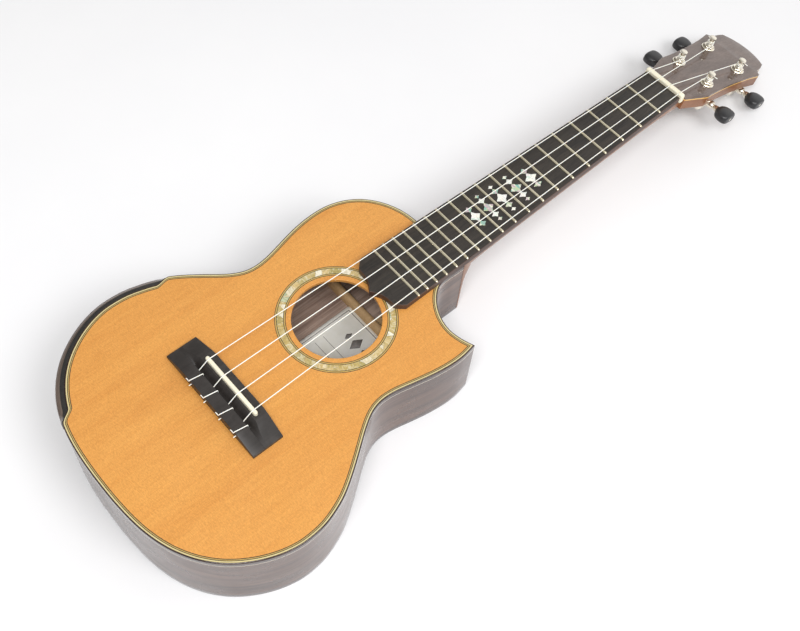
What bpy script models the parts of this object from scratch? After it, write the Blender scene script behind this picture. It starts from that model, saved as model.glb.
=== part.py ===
"""Tenor ukulele with a cutaway body and geared tuners. Sizes are in millimetres, turned to metres on writing.

Playing frame: the soundboard is level, +Z up, +Y towards the headstock, +X the cutaway side, Z 0 at the fret
crowns and Y 0 at the nut's fretboard face. A root empty tips it so that the tapered back lies flat on Z 0.
"""

import math

import bmesh
import bpy
import numpy as np
from mathutils import Matrix, Vector
from mathutils.geometry import tessellate_polygon

MM = 0.001

# Driving sizes
CLEAR = 0.3
SCALE_LENGTH = 430.0
FRET_COUNT = 19
NUT_HALF = 18.2
BOARD_FLARE = 0.0247
BOARD_LEAN = -1.25
BOARD_TOP = -1.0
BOARD_THICK = 5.2
TOP_Z = BOARD_TOP - BOARD_THICK - CLEAR
PLATE = 2.5
DEPTH_AT_NECK = 59.0
DEPTH_AT_TAIL = 68.0
JOIN_Y = -241.7
CUT_X = 24.0
TAIL_Y = -533.5
WALL = 2.0
LINING = 8.0
TOP_TRIM = 3.4
BACK_TRIM = 2.5
HOLE_Y = -340.6
HOLE_R = 31.6
ROSETTE_IN = 35.3
ROSETTE_OUT = 43.1
ROSETTE_DEEP = 1.2
LEAN = 1.2
LEAN_Y = -402.0
LEAN_RUN = 25.0
ARM_INSET = 5.8
ARM_PROUD = 1.3
ARM_RAMP = 11.0
HEAD_TILT = 15.0
HEAD_START = (4.5, -3.0)
HEAD_PLATE = 2.0
HEAD_THICK = 12.0
POST_NEAR = (15.3, 37.0)
POST_FAR = (16.4, 82.5)
STRING_R = 0.35
STRING_NUT_X = (-16.6, -6.4, 3.9, 14.1)
STRING_SADDLE_X = (-24.2, -8.1, 8.1, 24.2)
STRING_NUT_Z = 0.8
STRING_SADDLE_Z = 4.0
BRIDGE_AHEAD = 7.0
BRIDGE_BEHIND = 18.5
BRIDGE_HALF = 47.6
BRIDGE_TOP = 0.6
GEAR_TEETH = 14
GEAR_TIP = 5.2
WORM_OFFSET = 7.0
WORM_R = 2.2
KNOB_REACH = 24.2

SADDLE_Y = -SCALE_LENGTH - 0.2
BRIDGE_FRONT = SADDLE_Y + BRIDGE_AHEAD
BRIDGE_BACK = SADDLE_Y - BRIDGE_BEHIND
SLOPE = (DEPTH_AT_TAIL - DEPTH_AT_NECK) / (JOIN_Y - TAIL_Y)


def back_z(y):
    """Height of the outer back, which falls away towards the tail."""
    return TOP_Z - DEPTH_AT_NECK - SLOPE * (JOIN_Y - y)


def board_half(y):
    return NUT_HALF + BOARD_FLARE * abs(y)


def board_middle(y):
    """The fretboard's middle line: it follows the strings, and fades out on the body and on the headstock."""
    if y > 0:
        return BOARD_LEAN * min(max((22.0 - y) / 16.0, 0.0), 1.0)
    return BOARD_LEAN * max(1 + y / 300.0, 0.0)


def fret_y(n):
    return -SCALE_LENGTH * (1 - 2 ** (-n / 12))


# Scene and materials
for old in list(bpy.data.objects):
    bpy.data.objects.remove(old, do_unlink=True)

COLOURS = {
    "cedar": ((0.80, 0.42, 0.13), 0.25),
    "rosewood": ((0.16, 0.075, 0.05), 0.2),
    "mahogany": ((0.36, 0.13, 0.05), 0.25),
    "ebony": ((0.02, 0.018, 0.017), 0.3),
    "spruce": ((0.75, 0.55, 0.32), 0.6),
    "trim": ((0.45, 0.38, 0.18), 0.3),
    "pearl": ((0.75, 0.75, 0.58), 0.2),
    "bone": ((0.85, 0.80, 0.66), 0.35),
    "nickel": ((0.75, 0.70, 0.58), 0.25),
    "black_plastic": ((0.02, 0.02, 0.022), 0.35),
    "nylon": ((0.9, 0.9, 0.88), 0.3),
}
METALS = ("nickel",)


def new_material(name, tint):
    colour, rough = COLOURS[tint]
    made = bpy.data.materials.new(name)
    made.use_nodes = True
    shader = made.node_tree.nodes["Principled BSDF"]
    shader.inputs["Base Color"].default_value = (*colour, 1.0)
    shader.inputs["Roughness"].default_value = rough
    shader.inputs["Metallic"].default_value = 1.0 if tint in METALS else 0.0
    made.diffuse_color = (*colour, 1.0)
    return made


root = bpy.data.objects.new("tenor_ukulele", None)
bpy.context.scene.collection.objects.link(root)
head = bpy.data.objects.new("headstock_frame", None)
bpy.context.scene.collection.objects.link(head)
head.parent = root
head.location = (0.0, HEAD_START[0] * MM, HEAD_START[1] * MM)
head.rotation_euler = (-math.radians(HEAD_TILT), 0.0, 0.0)


def add_object(name, verts, faces, tint, parent=root, smooth=35.0):
    """A closed mesh from points in millimetres and faces; smooth is the angle over which edges stay sharp."""
    mesh = bpy.data.meshes.new(name)
    mesh.from_pydata([Vector(v) * MM for v in verts], [], faces)
    work = bmesh.new()
    work.from_mesh(mesh)
    bmesh.ops.recalc_face_normals(work, faces=work.faces)
    if work.calc_volume(signed=True) < 0:
        bmesh.ops.reverse_faces(work, faces=work.faces)
    for edge in work.edges:
        edge.smooth = len(edge.link_faces) == 2 and edge.calc_face_angle(0.0) < math.radians(smooth)
    for face in work.faces:
        face.smooth = True
    work.to_mesh(mesh)
    work.free()
    made = bpy.data.objects.new(name, mesh)
    bpy.context.scene.collection.objects.link(made)
    made.parent = parent
    if tint:
        mesh.materials.append(new_material(name + "_material", tint))
    else:
        made.hide_render = True
        made.display_type = "WIRE"
    return made


def add_boolean(target, other, operation):
    step = target.modifiers.new(operation.lower(), "BOOLEAN")
    step.operation = operation
    step.solver = "EXACT"
    step.object = other


def loft(stations, closed_ring=False):
    """Faces over equal-length station loops, with end caps unless the last station meets the first."""
    count = len(stations[0])
    verts = [p for loop in stations for p in loop]
    faces = []
    spans = len(stations) if closed_ring else len(stations) - 1
    for i in range(spans):
        a = i * count
        b = ((i + 1) % len(stations)) * count
        for j in range(count):
            k = (j + 1) % count
            faces.append((a + j, a + k, b + k, b + j))
    if not closed_ring:
        for start in (0, (len(stations) - 1) * count):
            faces.append(tuple(range(start, start + count)))
    return verts, faces


def prism(loops, low, high):
    """A plate with holes: loops of (x, y), the first the outside; low and high give a height at each y."""
    flat = [p for loop in loops for p in loop]
    total = len(flat)
    verts = [(x, y, high(y)) for x, y in flat] + [(x, y, low(y)) for x, y in flat]
    triangles = tessellate_polygon([[Vector((x, y, 0.0)) for x, y in loop] for loop in loops])
    faces = [tuple(t) for t in triangles] + [tuple(total + i for i in reversed(t)) for t in triangles]
    start = 0
    for loop in loops:
        count = len(loop)
        for j in range(count):
            a = start + j
            b = start + (j + 1) % count
            faces.append((a, b, total + b, total + a))
        start += count
    return verts, faces


def level(z):
    return lambda y: z


def circle(x, y, radius, count=40):
    return [
        (x + radius * math.cos(2 * math.pi * i / count), y + radius * math.sin(2 * math.pi * i / count))
        for i in range(count)
    ]


def box(x0, x1, y0, y1, low, high):
    return prism([[(x0, y0), (x1, y0), (x1, y1), (x0, y1)]], low, high)


def joined(parts):
    verts = []
    faces = []
    for more_verts, more_faces in parts:
        base = len(verts)
        verts += more_verts
        faces += [tuple(base + i for i in face) for face in more_faces]
    return verts, faces


def turned(profile, count=20, centre=(0.0, 0.0)):
    """A solid of revolution about the local Z axis from (radius, height) points that start and end off the axis."""
    loops = []
    for radius, height in profile:
        loops.append([(x, y, height) for x, y in circle(centre[0], centre[1], radius, count)])
    return loft(loops)


# Body outline
LOWER_BOUT = [
    (92.9, -399.3), (100.4, -410.9), (105.3, -420.2), (108.9, -430.1), (111.5, -440.0), (112.5, -450.0),
    (112.3, -460.0), (110.2, -470.6), (106.1, -481.9), (100.1, -493.0), (91.6, -504.3), (79.3, -515.2),
    (62.9, -524.3), (42.8, -530.3), (21.1, -532.9),
]
BASS_SIDE = [
    (-CUT_X, JOIN_Y), (-33.0, JOIN_Y - 0.6), (-43.0, -244.5), (-54.5, -249.6), (-65.5, -257.8), (-74.2, -269.4),
    (-79.3, -283.8), (-80.3, -299.0), (-78.6, -315.3), (-75.0, -331.3), (-71.6, -345.2), (-70.2, -356.1),
    (-71.2, -365.7), (-76.1, -376.2), (-84.0, -387.2),
]
TREBLE_SIDE = [
    (84.0, -387.2), (76.6, -377.1), (71.1, -367.6), (68.6, -358.2), (69.2, -347.0), (72.2, -334.0),
    (75.7, -319.0), (78.0, -304.0), (78.3, -292.0), (76.6, -280.4),
]
CUTAWAY = [
    (76.6, -280.4), (67.0, -283.8), (57.0, -285.4), (47.5, -284.0), (38.8, -280.2), (31.2, -274.4),
    (CUT_X + 2.0, -267.6), (CUT_X, -260.5), (CUT_X, -251.0), (CUT_X, JOIN_Y),
]


def smooth_curve(points, steps=24):
    """Centripetal Catmull-Rom through the points, as a dense line."""
    ends = [2 * np.array(points[0]) - points[1], *map(np.array, points), 2 * np.array(points[-1]) - points[-2]]
    out = []
    for i in range(1, len(ends) - 2):
        quad = [np.array(p, float) for p in ends[i - 1:i + 3]]
        knots = [0.0]
        for a, b in zip(quad, quad[1:]):
            knots.append(knots[-1] + np.linalg.norm(b - a) ** 0.5)
        for t in np.linspace(knots[1], knots[2], steps, endpoint=False):
            line = quad
            for depth in (1, 2, 3):
                line = [
                    ((knots[j + depth] - t) * line[j] + (t - knots[j]) * line[j + 1]) / (knots[j + depth] - knots[j])
                    for j in range(4 - depth)
                ]
            out.append(line[0])
    out.append(np.array(points[-1], float))
    return np.array(out)


def spaced(dense, error=0.19, most=10.0, least=2.5, start_gap=0.0, end_gap=0.0, fine=()):
    """Picks points off a dense line, closer where it bends; fine lists (from, to, step) stretches by arc length."""
    run = np.concatenate([[0.0], np.cumsum(np.linalg.norm(np.diff(dense, axis=0), axis=1))])
    heading = np.unwrap(np.arctan2(*np.diff(dense, axis=0).T[::-1]))
    middle = (run[1:] + run[:-1]) / 2
    total = run[-1]
    stops = [0.0]
    while stops[-1] < total:
        here = stops[-1]
        low, high = max(here - 2.0, 0.0), min(here + 8.0, total)
        bend = abs(np.interp(high, middle, heading) - np.interp(low, middle, heading)) / (high - low)
        step = min(max(math.sqrt(8 * error / max(bend, 1e-4)), least), most)
        for begin, finish, size in fine:
            if begin - step < here < finish:
                step = min(step, max(begin - here, size))
        stops.append(here + step)
    stops = [s for s in stops[1:-1] if start_gap < s < total - end_gap and s < total - least]
    if start_gap:
        stops = [start_gap, *[s for s in stops if s > start_gap + least]]
    if end_gap:
        stops = [*[s for s in stops if s < total - end_gap - least], total - end_gap]
    stops = [0.0, *stops, total]
    return np.stack([np.interp(stops, run, dense[:, 0]), np.interp(stops, run, dense[:, 1])], axis=1), stops


def leaned(point):
    """The hand-bent sides lean a little towards the bass side above the bridge."""
    x, y = point
    return (x - LEAN * math.exp(-(((y - LEAN_Y) / LEAN_RUN) ** 2)), y)


MIRRORED = [(-x, y) for x, y in LOWER_BOUT]
ALL_ROUND = BASS_SIDE + MIRRORED + [(0.0, TAIL_Y)] + LOWER_BOUT[::-1] + TREBLE_SIDE
ROUND_LINE = smooth_curve([leaned(point) for point in ALL_ROUND])
CUT_LINE = smooth_curve(CUTAWAY)
ROUND_RUN = np.concatenate([[0.0], np.cumsum(np.linalg.norm(np.diff(ROUND_LINE, axis=0), axis=1))])


def run_at(x, y):
    return ROUND_RUN[np.argmin(np.linalg.norm(ROUND_LINE - np.array([x, y]), axis=1))]


ARM_FROM = run_at(-100.2, -410.5)
ARM_TO = run_at(-48.7, -528.6)
TAIL_RUN = run_at(0.0, TAIL_Y)
TIP_CLEAR = 11.0
ROUND, ROUND_STOPS = spaced(
    ROUND_LINE,
    end_gap=TIP_CLEAR,
    fine=((ARM_FROM - 2, ARM_FROM + ARM_RAMP, 2.2), (ARM_TO - ARM_RAMP, ARM_TO + 2, 2.2)),
)
CUT, CUT_STOPS = spaced(CUT_LINE, start_gap=TIP_CLEAR)
OUTLINE = np.concatenate([ROUND, CUT[1:]])
TIP_AT = len(ROUND) - 1
LAST_AT = len(OUTLINE) - 1


def inward_normals(points):
    """Inward directions of a closed loop that runs anticlockwise, lengthened at corners to keep offsets even."""
    before = points - np.roll(points, 1, axis=0)
    after = np.roll(points, -1, axis=0) - points
    before /= np.linalg.norm(before, axis=1)[:, None]
    after /= np.linalg.norm(after, axis=1)[:, None]
    left = np.stack([-before[:, 1], before[:, 0]], axis=1)
    right = np.stack([-after[:, 1], after[:, 0]], axis=1)
    middle = left + right
    middle /= np.linalg.norm(middle, axis=1)[:, None]
    return middle / (middle * left).sum(axis=1)[:, None]


NORMALS = inward_normals(OUTLINE)


def ease(t):
    t = min(max(t, 0.0), 1.0)
    return t * t * (3 - 2 * t)


def arm_share(run):
    """0 off the arm rest and 1 along it, with an eased ramp at each end."""
    return ease((run - ARM_FROM) / ARM_RAMP) * ease((ARM_TO - run) / ARM_RAMP)


RUNS = list(ROUND_STOPS) + [ROUND_STOPS[-1] + s for s in CUT_STOPS[1:]]
INSET = np.array([ARM_INSET * arm_share(s) if s <= ROUND_STOPS[-1] else 0.0 for s in RUNS])


def inside(index, depth):
    """The outline point at index, moved inwards."""
    return OUTLINE[index] + NORMALS[index] * depth


def offset_loop(depth, follow_arm):
    return [tuple(inside(i, depth + (INSET[i] if follow_arm else 0.0))) for i in range(len(OUTLINE))]


# Soundboard with its rosette channel and sound hole
edge_loop = offset_loop(TOP_TRIM + CLEAR, True)
hole_loop = circle(0.0, HOLE_Y, HOLE_R, 36)
inner_loop = circle(0.0, HOLE_Y, ROSETTE_IN - CLEAR, 36)
outer_loop = circle(0.0, HOLE_Y, ROSETTE_OUT + CLEAR, 36)


def annulus_sides(loop_a, z_a, loop_b, z_b):
    verts = [(x, y, z_a) for x, y in loop_a] + [(x, y, z_b) for x, y in loop_b]
    count = len(loop_a)
    return verts, [(j, (j + 1) % count, count + (j + 1) % count, count + j) for j in range(count)]


def sheet(loops, z):
    flat = [p for loop in loops for p in loop]
    verts = [(x, y, z) for x, y in flat]
    return verts, [tuple(t) for t in tessellate_polygon([[Vector((x, y, 0.0)) for x, y in loop] for loop in loops])]


def welded_object(name, parts, tint, smooth=35.0):
    verts, faces = joined(parts)
    keys = {}
    index = []
    kept = []
    for v in verts:
        key = tuple(round(c, 4) for c in v)
        if key not in keys:
            keys[key] = len(kept)
            kept.append(v)
        index.append(keys[key])
    faces = [tuple(index[i] for i in face) for face in faces]
    return add_object(name, kept, faces, tint, smooth=smooth)


channel_z = TOP_Z - ROSETTE_DEEP - CLEAR
under_z = TOP_Z - PLATE
welded_object(
    "soundboard",
    [
        sheet([edge_loop, outer_loop], TOP_Z),
        annulus_sides(outer_loop, TOP_Z, outer_loop, channel_z),
        annulus_sides(outer_loop, channel_z, inner_loop, channel_z),
        annulus_sides(inner_loop, channel_z, inner_loop, TOP_Z),
        annulus_sides(inner_loop, TOP_Z, hole_loop, TOP_Z),
        annulus_sides(hole_loop, TOP_Z, hole_loop, under_z),
        sheet([edge_loop, hole_loop], under_z),
        annulus_sides(edge_loop, TOP_Z, edge_loop, under_z),
    ],
    "cedar",
)
add_object(
    "rosette",
    *prism(
        [circle(0.0, HOLE_Y, ROSETTE_OUT, 36), circle(0.0, HOLE_Y, ROSETTE_IN, 36)],
        level(TOP_Z - ROSETTE_DEEP),
        level(TOP_Z),
    ),
    "pearl",
)


def ring_loop(index, near, far, low, high):
    a = inside(index, near)
    b = inside(index, far)
    return [
        (*a, high(a[1])), (*b, high(b[1])), (*b, low(b[1])), (*a, low(a[1])),
    ]


def add_ring(name, follow_arm, width, low, high, tint):
    stations = []
    for i in range(len(OUTLINE)):
        shift = INSET[i] if follow_arm else 0.0
        stations.append(ring_loop(i, shift, shift + width, low, high))
    return add_object(name, *loft(stations, closed_ring=True), tint)


add_ring("top_binding", True, TOP_TRIM, level(under_z), level(TOP_Z), "trim")
add_ring("back_binding", False, BACK_TRIM, back_z, lambda y: back_z(y) + PLATE, "rosewood")
add_object(
    "back",
    *prism([offset_loop(BACK_TRIM + CLEAR, False)], back_z, lambda y: back_z(y) + PLATE),
    "rosewood",
)

# Ribs, each one bent side with its top and bottom linings
rib_top = under_z - CLEAR
block_half = 21.5
block_back_y = JOIN_Y - 24.3


def back_top(y):
    return back_z(y) + PLATE + CLEAR


TAIL_BLOCK_HALF = 34.0


def lining_depth(point):
    """The lining stops at the neck block and at the tail block."""
    by_tail = point[1] < TAIL_Y + 53.5 and abs(point[0]) < TAIL_BLOCK_HALF + 3
    by_neck = point[1] > block_back_y - 6 and abs(point[0]) < CUT_X + 5.5
    return WALL + 0.3 if by_tail or by_neck else LINING


def rib_section(point, normal, inset):
    deep = lining_depth(point)
    step = 1.0 if deep < LINING else 0.0
    shape = [
        (0.0, 0), (deep + inset * (1 - step), 0), (deep + inset * (1 - step), 4.0), (WALL, 9.0 + inset),
        (WALL, -9.0), (deep, -5.5), (deep, 0.0), (0.0, 0.0),
    ]
    out = []
    for i, (depth, drop) in enumerate(shape):
        x, y = point + normal * depth
        z = rib_top - drop if i < 4 else back_top(y) - drop
        out.append((x, y, z))
    return out


def add_rib(name, indices, cut_start, cut_end, tint):
    stations = []
    for count, i in enumerate(indices):
        point = OUTLINE[i].copy()
        normal = NORMALS[i]
        if count == 0 and cut_start is not None:
            point, normal = cut_start
        if count == len(indices) - 1 and cut_end is not None:
            point, normal = cut_end
        stations.append(rib_section(np.array(point), np.array(normal), INSET[i]))
    return add_object(name, *loft(stations), tint)


tail_at = int(np.argmin(np.abs(np.array(RUNS) - TAIL_RUN)))
half_gap = CLEAR / 2
add_rib(
    "rib_bass",
    list(range(0, tail_at)) + [tail_at],
    ((-block_half - CLEAR, JOIN_Y), (0.0, -1.0)),
    ((-half_gap, OUTLINE[tail_at][1]), (0.0, 1.0)),
    "rosewood",
)
add_rib(
    "rib_treble",
    list(range(tail_at, LAST_AT + 1)),
    ((half_gap, OUTLINE[tail_at][1]), (0.0, 1.0)),
    ((CUT_X, JOIN_Y), (-1.0, 0.0)),
    "rosewood",
)
block_front = TAIL_Y + 19.5
block_edge = []
for i in range(tail_at - 8, tail_at + 9):
    x, y = inside(i, WALL + 2 * CLEAR)
    if abs(x) < TAIL_BLOCK_HALF:
        block_edge.append((x, y))
add_object(
    "tail_block",
    *prism([block_edge + [(TAIL_BLOCK_HALF, block_front), (-TAIL_BLOCK_HALF, block_front)]], back_top, level(rib_top)),
    "mahogany",
)

# Arm rest, a rounded strip let into the bass edge and standing a little proud of the side
arm_stations = []
for i in range(len(ROUND)):
    run = RUNS[i]
    if INSET[i] < 2.5 * CLEAR:
        continue
    inset = INSET[i] - CLEAR
    proud = 0.8 + (ARM_PROUD - 0.8) * ease(min(run - ARM_FROM, ARM_TO - run) / 26.0)
    shape = [
        (inset, 0.0), (inset * 0.62, 0.7), (inset * 0.2, 2.0), (-0.35 * (1 + proud), 3.8), (-proud, 6.3),
        (-proud, 9.0), (-0.75, 12.0), (-CLEAR, 12.0), (-CLEAR, PLATE), (inset, PLATE),
    ]
    arm_stations.append([(*inside(i, depth), TOP_Z - drop) for depth, drop in shape])
add_object("arm_rest", *loft(arm_stations), "ebony", smooth=50.0)

# Braces under the soundboard, joined into one lattice
brace_top = under_z - CLEAR
TOP_INNER = offset_loop(LINING + 2 * CLEAR, True)
BACK_INNER = offset_loop(LINING + 2 * CLEAR, False)


def span_at(loop, y, wide):
    """The left and right ends that a bar across the body at y has inside a loop."""
    lefts = []
    rights = []
    for level_y in (y - wide / 2, y, y + wide / 2):
        for (x0, y0), (x1, y1) in zip(loop, loop[1:] + loop[:1]):
            if (y0 - level_y) * (y1 - level_y) < 0:
                x = x0 + (x1 - x0) * (level_y - y0) / (y1 - y0)
                (lefts if x < 0 else rights).append(x)
    return max(lefts), min(rights)


def bar(x0, y0, x1, y1, width, height, top=brace_top):
    """A straight bar between two points, its top edge just under the board."""
    along = Vector((x1 - x0, y1 - y0)).normalized()
    side = Vector((-along.y, along.x)) * width / 2
    a = Vector((x0, y0))
    b = Vector((x1, y1))
    loop = [(a + side)[:], (a - side)[:], (b - side)[:], (b + side)[:]]
    return prism([loop], level(top - height), level(top))


def cross_bar(y, wide, height):
    left, right = span_at(TOP_INNER, y, wide)
    return bar(left, y, right, y, wide, height)


upper_bar = HOLE_Y + 42.6
hole_edge = HOLE_Y - HOLE_R
lower_bar = hole_edge + 0.27 * (BRIDGE_FRONT - hole_edge)
patch_y = SADDLE_Y - 5.8
lattice = add_object("top_bracing", *cross_bar(upper_bar, 7.0, 9.0), "spruce")
for number, shape in enumerate(
    (
        cross_bar(lower_bar, 7.0, 9.2),
        bar(-49.0, upper_bar, -49.0, lower_bar, 8.0, 5.0),
        bar(49.0, upper_bar, 49.0, lower_bar, 8.0, 5.1),
        bar(0.0, lower_bar, 0.0, TAIL_Y + 28.5, 5.0, 6.0),
        bar(-20.0, lower_bar, -46.0, TAIL_Y + 41.5, 5.0, 6.1),
        bar(20.0, lower_bar, 46.0, TAIL_Y + 41.5, 5.0, 6.2),
        bar(-52.0, patch_y, 52.0, patch_y, 26.0, 2.0),
    )
):
    add_boolean(lattice, add_object(f"brace_shape_{number}", *shape, None), "UNION")


# Braces inside the back, joined by the centre strip
def back_bar(y, width, height):
    left, right = span_at(BACK_INNER, y, width)
    low = lambda v: back_top(v) + 0.2
    return box(left, right, y - width / 2, y + width / 2, low, lambda v: back_top(v) + height)


ladder = add_object(
    "back_bracing",
    *box(-7.0, 7.0, TAIL_Y + 21.5, JOIN_Y - 26.3, back_top, lambda v: back_top(v) + 1.4),
    "spruce",
)
for number, y in enumerate((-301.5, -377.0, -432.0, -486.0)):
    shape = add_object(f"ladder_shape_{number}", *back_bar(y, 6.5, 8.0), None)
    add_boolean(ladder, shape, "UNION")

# Neck: shaft, heel, inner block and headstock in one piece
HEEL_HALF = CUT_X - 0.1
shaft_stations = []
for y, half, top, low, round_by in (
    (22.0, 17.0, -14.0, -19.0, 0.6),
    (15.0, 17.8, -11.5, -20.4, 0.58),
    (6.0, 18.0, -9.0, -21.2, 0.56),
    (5.3, 18.0, TOP_Z, -21.3, 0.56),
    (0.0, NUT_HALF - 0.1, TOP_Z, -21.4, 0.6),
    (-26.0, board_half(-26.0) - 0.1, TOP_Z, -21.6, 0.88),
    (-150.0, board_half(-150.0) - 0.1, TOP_Z, -22.4, 0.9),
    (-215.0, board_half(-215.0) - 0.1, TOP_Z, -23.4, 0.9),
    (JOIN_Y + CLEAR, HEEL_HALF, TOP_Z, -26.0, 0.9),
):
    mid = board_middle(y) if y > JOIN_Y + 1 else 0.0
    loop = [(mid + half, y, top)]
    for step in range(1, 14):
        angle = math.pi * step / 14
        wide = math.copysign(abs(math.cos(angle)) ** round_by, math.cos(angle))
        loop.append((mid + half * wide, y, top + (low - top) * math.sin(angle) ** round_by))
    loop.append((mid - half, y, top))
    shaft_stations.append(loop)
neck = add_object("neck", *loft(shaft_stations), "mahogany")

heel_back = JOIN_Y + CLEAR
heel_stations = []
for z, half, reach in (
    (TOP_Z - 1.0, HEEL_HALF, 24.0),
    (-15.0, HEEL_HALF, 23.0),
    (-20.0, HEEL_HALF, 20.5),
    (-25.0, HEEL_HALF, 16.0),
    (-31.0, HEEL_HALF, 12.5),
    (-40.0, HEEL_HALF, 10.2),
    (-52.0, HEEL_HALF, 8.8),
    (None, HEEL_HALF, 8.2),
):
    loop = []
    for step in range(17):
        angle = math.pi * step / 16
        x = half * math.cos(angle)
        y = heel_back + reach * math.sin(angle)
        loop.append((x, y, back_z(y) if z is None else z))
    heel_stations.append(loop)
add_boolean(neck, add_object("heel_shape", *loft(heel_stations), None), "UNION")
block_shape = add_object(
    "block_shape",
    *box(-block_half, block_half, block_back_y, JOIN_Y + 5.0, back_top, level(rib_top)),
    None,
)
add_boolean(neck, block_shape, "UNION")

HEAD_HALF = [
    (18.9, 1.6), (20.2, 6.0), (22.6, 14.0), (25.2, 22.0), (26.2, 26.0), (25.9, 34.0), (25.7, 45.0),
    (25.9, 58.0), (26.6, 72.0), (27.8, 86.0), (29.9, 99.0), (27.3, 100.6), (25.6, 103.0), (24.8, 106.5),
    (24.2, 110.0), (22.4, 115.0), (17.0, 117.4), (9.0, 119.6),
]
HEAD_TIP = 120.4
head_loop = [(0.0, HEAD_TIP)] + [(-x, y) for x, y in HEAD_HALF[::-1]] + HEAD_HALF
POSTS = [(-POST_NEAR[0], POST_NEAR[1]), (-POST_FAR[0], POST_FAR[1]), POST_FAR, POST_NEAR]
BUSH_R = 4.2
post_holes = [circle(x, y, BUSH_R + CLEAR, 16) for x, y in POSTS]
wood_top = -HEAD_PLATE - CLEAR
slab = add_object(
    "headstock_shape",
    *prism([head_loop, *post_holes], level(-HEAD_THICK), level(wood_top)),
    None,
    parent=head,
)
add_boolean(neck, slab, "UNION")
plate_loop = [(x, max(y, 2.2)) for x, y in head_loop]
add_object(
    "headplate",
    *prism([plate_loop, *post_holes], level(-HEAD_PLATE), level(0.0)),
    "rosewood",
    parent=head,
)

# Fretboard with blind fret slots
END_SHAPE = ((-0.6, 11.7), (-5.3, 17.1), (-8.0, 18.4), (-13.5, 18.7), (-18.5, 20.1), (-22.3, 22.3))
last_fret = fret_y(FRET_COUNT)
end_corner = board_half(last_fret - END_SHAPE[0][1])
END_HALF = [(end_corner + inset, last_fret - past) for inset, past in END_SHAPE]
board_loop = [(NUT_HALF, 0.0), (-NUT_HALF, 0.0)]
board_loop += [(-board_half(y), y) for y in (-100.0, -200.0)]
board_loop += [(-x, y) for x, y in END_HALF] + [(0.0, last_fret - 24.9)] + END_HALF[::-1]
board_loop += [(board_half(y), y) for y in (-200.0, -100.0)]
board_loop = [(x + board_middle(y), y) for x, y in board_loop]
board_low = BOARD_TOP - BOARD_THICK
board = add_object("fretboard", *prism([board_loop[::-1]], level(board_low), level(BOARD_TOP)), "ebony")
TANG_HALF = 0.3
TANG_DEEP = 2.6
FRET_END = 0.8
slots = []
for n in range(1, FRET_COUNT + 1):
    y = fret_y(n)
    half = board_half(y) - FRET_END - CLEAR
    wide = TANG_HALF + CLEAR
    mid = board_middle(y)
    slots.append(box(mid - half, mid + half, y - wide, y + wide, level(-TANG_DEEP - CLEAR), level(2.0)))
add_boolean(board, add_object("fret_slots", *joined(slots), None), "DIFFERENCE")

CROWN = ((-1.05, -0.8), (-0.78, -0.26), (0.0, 0.0), (0.78, -0.26), (1.05, -0.8))
for n in range(1, FRET_COUNT + 1):
    y = fret_y(n)
    left, right = (board_middle(y) + side * (board_half(y) - FRET_END) for side in (-1, 1))
    stations = []
    for x, crown, tang in (
        (left, 0.45, 0.1), (left + 0.5, 1.0, 0.1), (left + 1.6, 1.0, 1.0),
        (right - 1.6, 1.0, 1.0), (right - 0.5, 1.0, 0.1), (right, 0.45, 0.1),
    ):
        foot = -0.8 - (TANG_DEEP - 0.8) * tang
        loop = [(x, y + a * crown, -0.8 + (b + 0.8) * crown) for a, b in CROWN]
        loop += [(x, y + TANG_HALF, -0.8), (x, y + TANG_HALF, foot), (x, y - TANG_HALF, foot), (x, y - TANG_HALF, -0.8)]
        stations.append(loop)
    add_object(f"fret_{n:02d}", *loft(stations), "nickel", smooth=60.0)

# Nut with string slots
NUT_WIDE = 19.5
NUT_THICK = 4.8
nut_top = 1.5
nut_low = TOP_Z + CLEAR
nut_stations = []
nut_left = BOARD_LEAN - NUT_WIDE
nut_right = BOARD_LEAN + NUT_WIDE
for x, small in (
    (nut_left, 1.3), (nut_left + 0.5, 0.4), (nut_left + 1.6, 0.0),
    (nut_right - 1.6, 0.0), (nut_right - 0.5, 0.4), (nut_right, 1.3),
):
    front = CLEAR + small * 0.5
    rear = CLEAR + NUT_THICK - small * 0.5
    top = nut_top - small
    nut_stations.append(
        [
            (x, front, nut_low), (x, front, top - 0.9), (x, front + 0.7, top - 0.1), (x, (front + rear) / 2, top),
            (x, rear - 0.9, top - 0.5), (x, rear, top - 1.7), (x, rear, nut_low),
        ]
    )
nut = add_object("nut", *loft(nut_stations), "bone", smooth=50.0)
nut_cuts = []
slot_low = STRING_NUT_Z - STRING_R - CLEAR
for x in STRING_NUT_X:
    shape = [(-1.0, slot_low), (2.6, slot_low), (7.0, slot_low - 1.0), (7.0, 4.0), (-1.0, 4.0)]
    nut_cuts.append(loft([[(x - 0.75, y, z) for y, z in shape], [(x + 0.75, y, z) for y, z in shape]]))
add_boolean(nut, add_object("nut_slots", *joined(nut_cuts), None), "DIFFERENCE")

# Bridge with a tie block, saddle slot and string holes
SADDLE_THICK = 3.0
SADDLE_HALF = 27.4
CHANNEL_Y = SADDLE_Y - 8.4
TIE_FRONT = SADDLE_Y - 9.2
bridge_low = TOP_Z + CLEAR
wing_top = TOP_Z + CLEAR + 2.6


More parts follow.
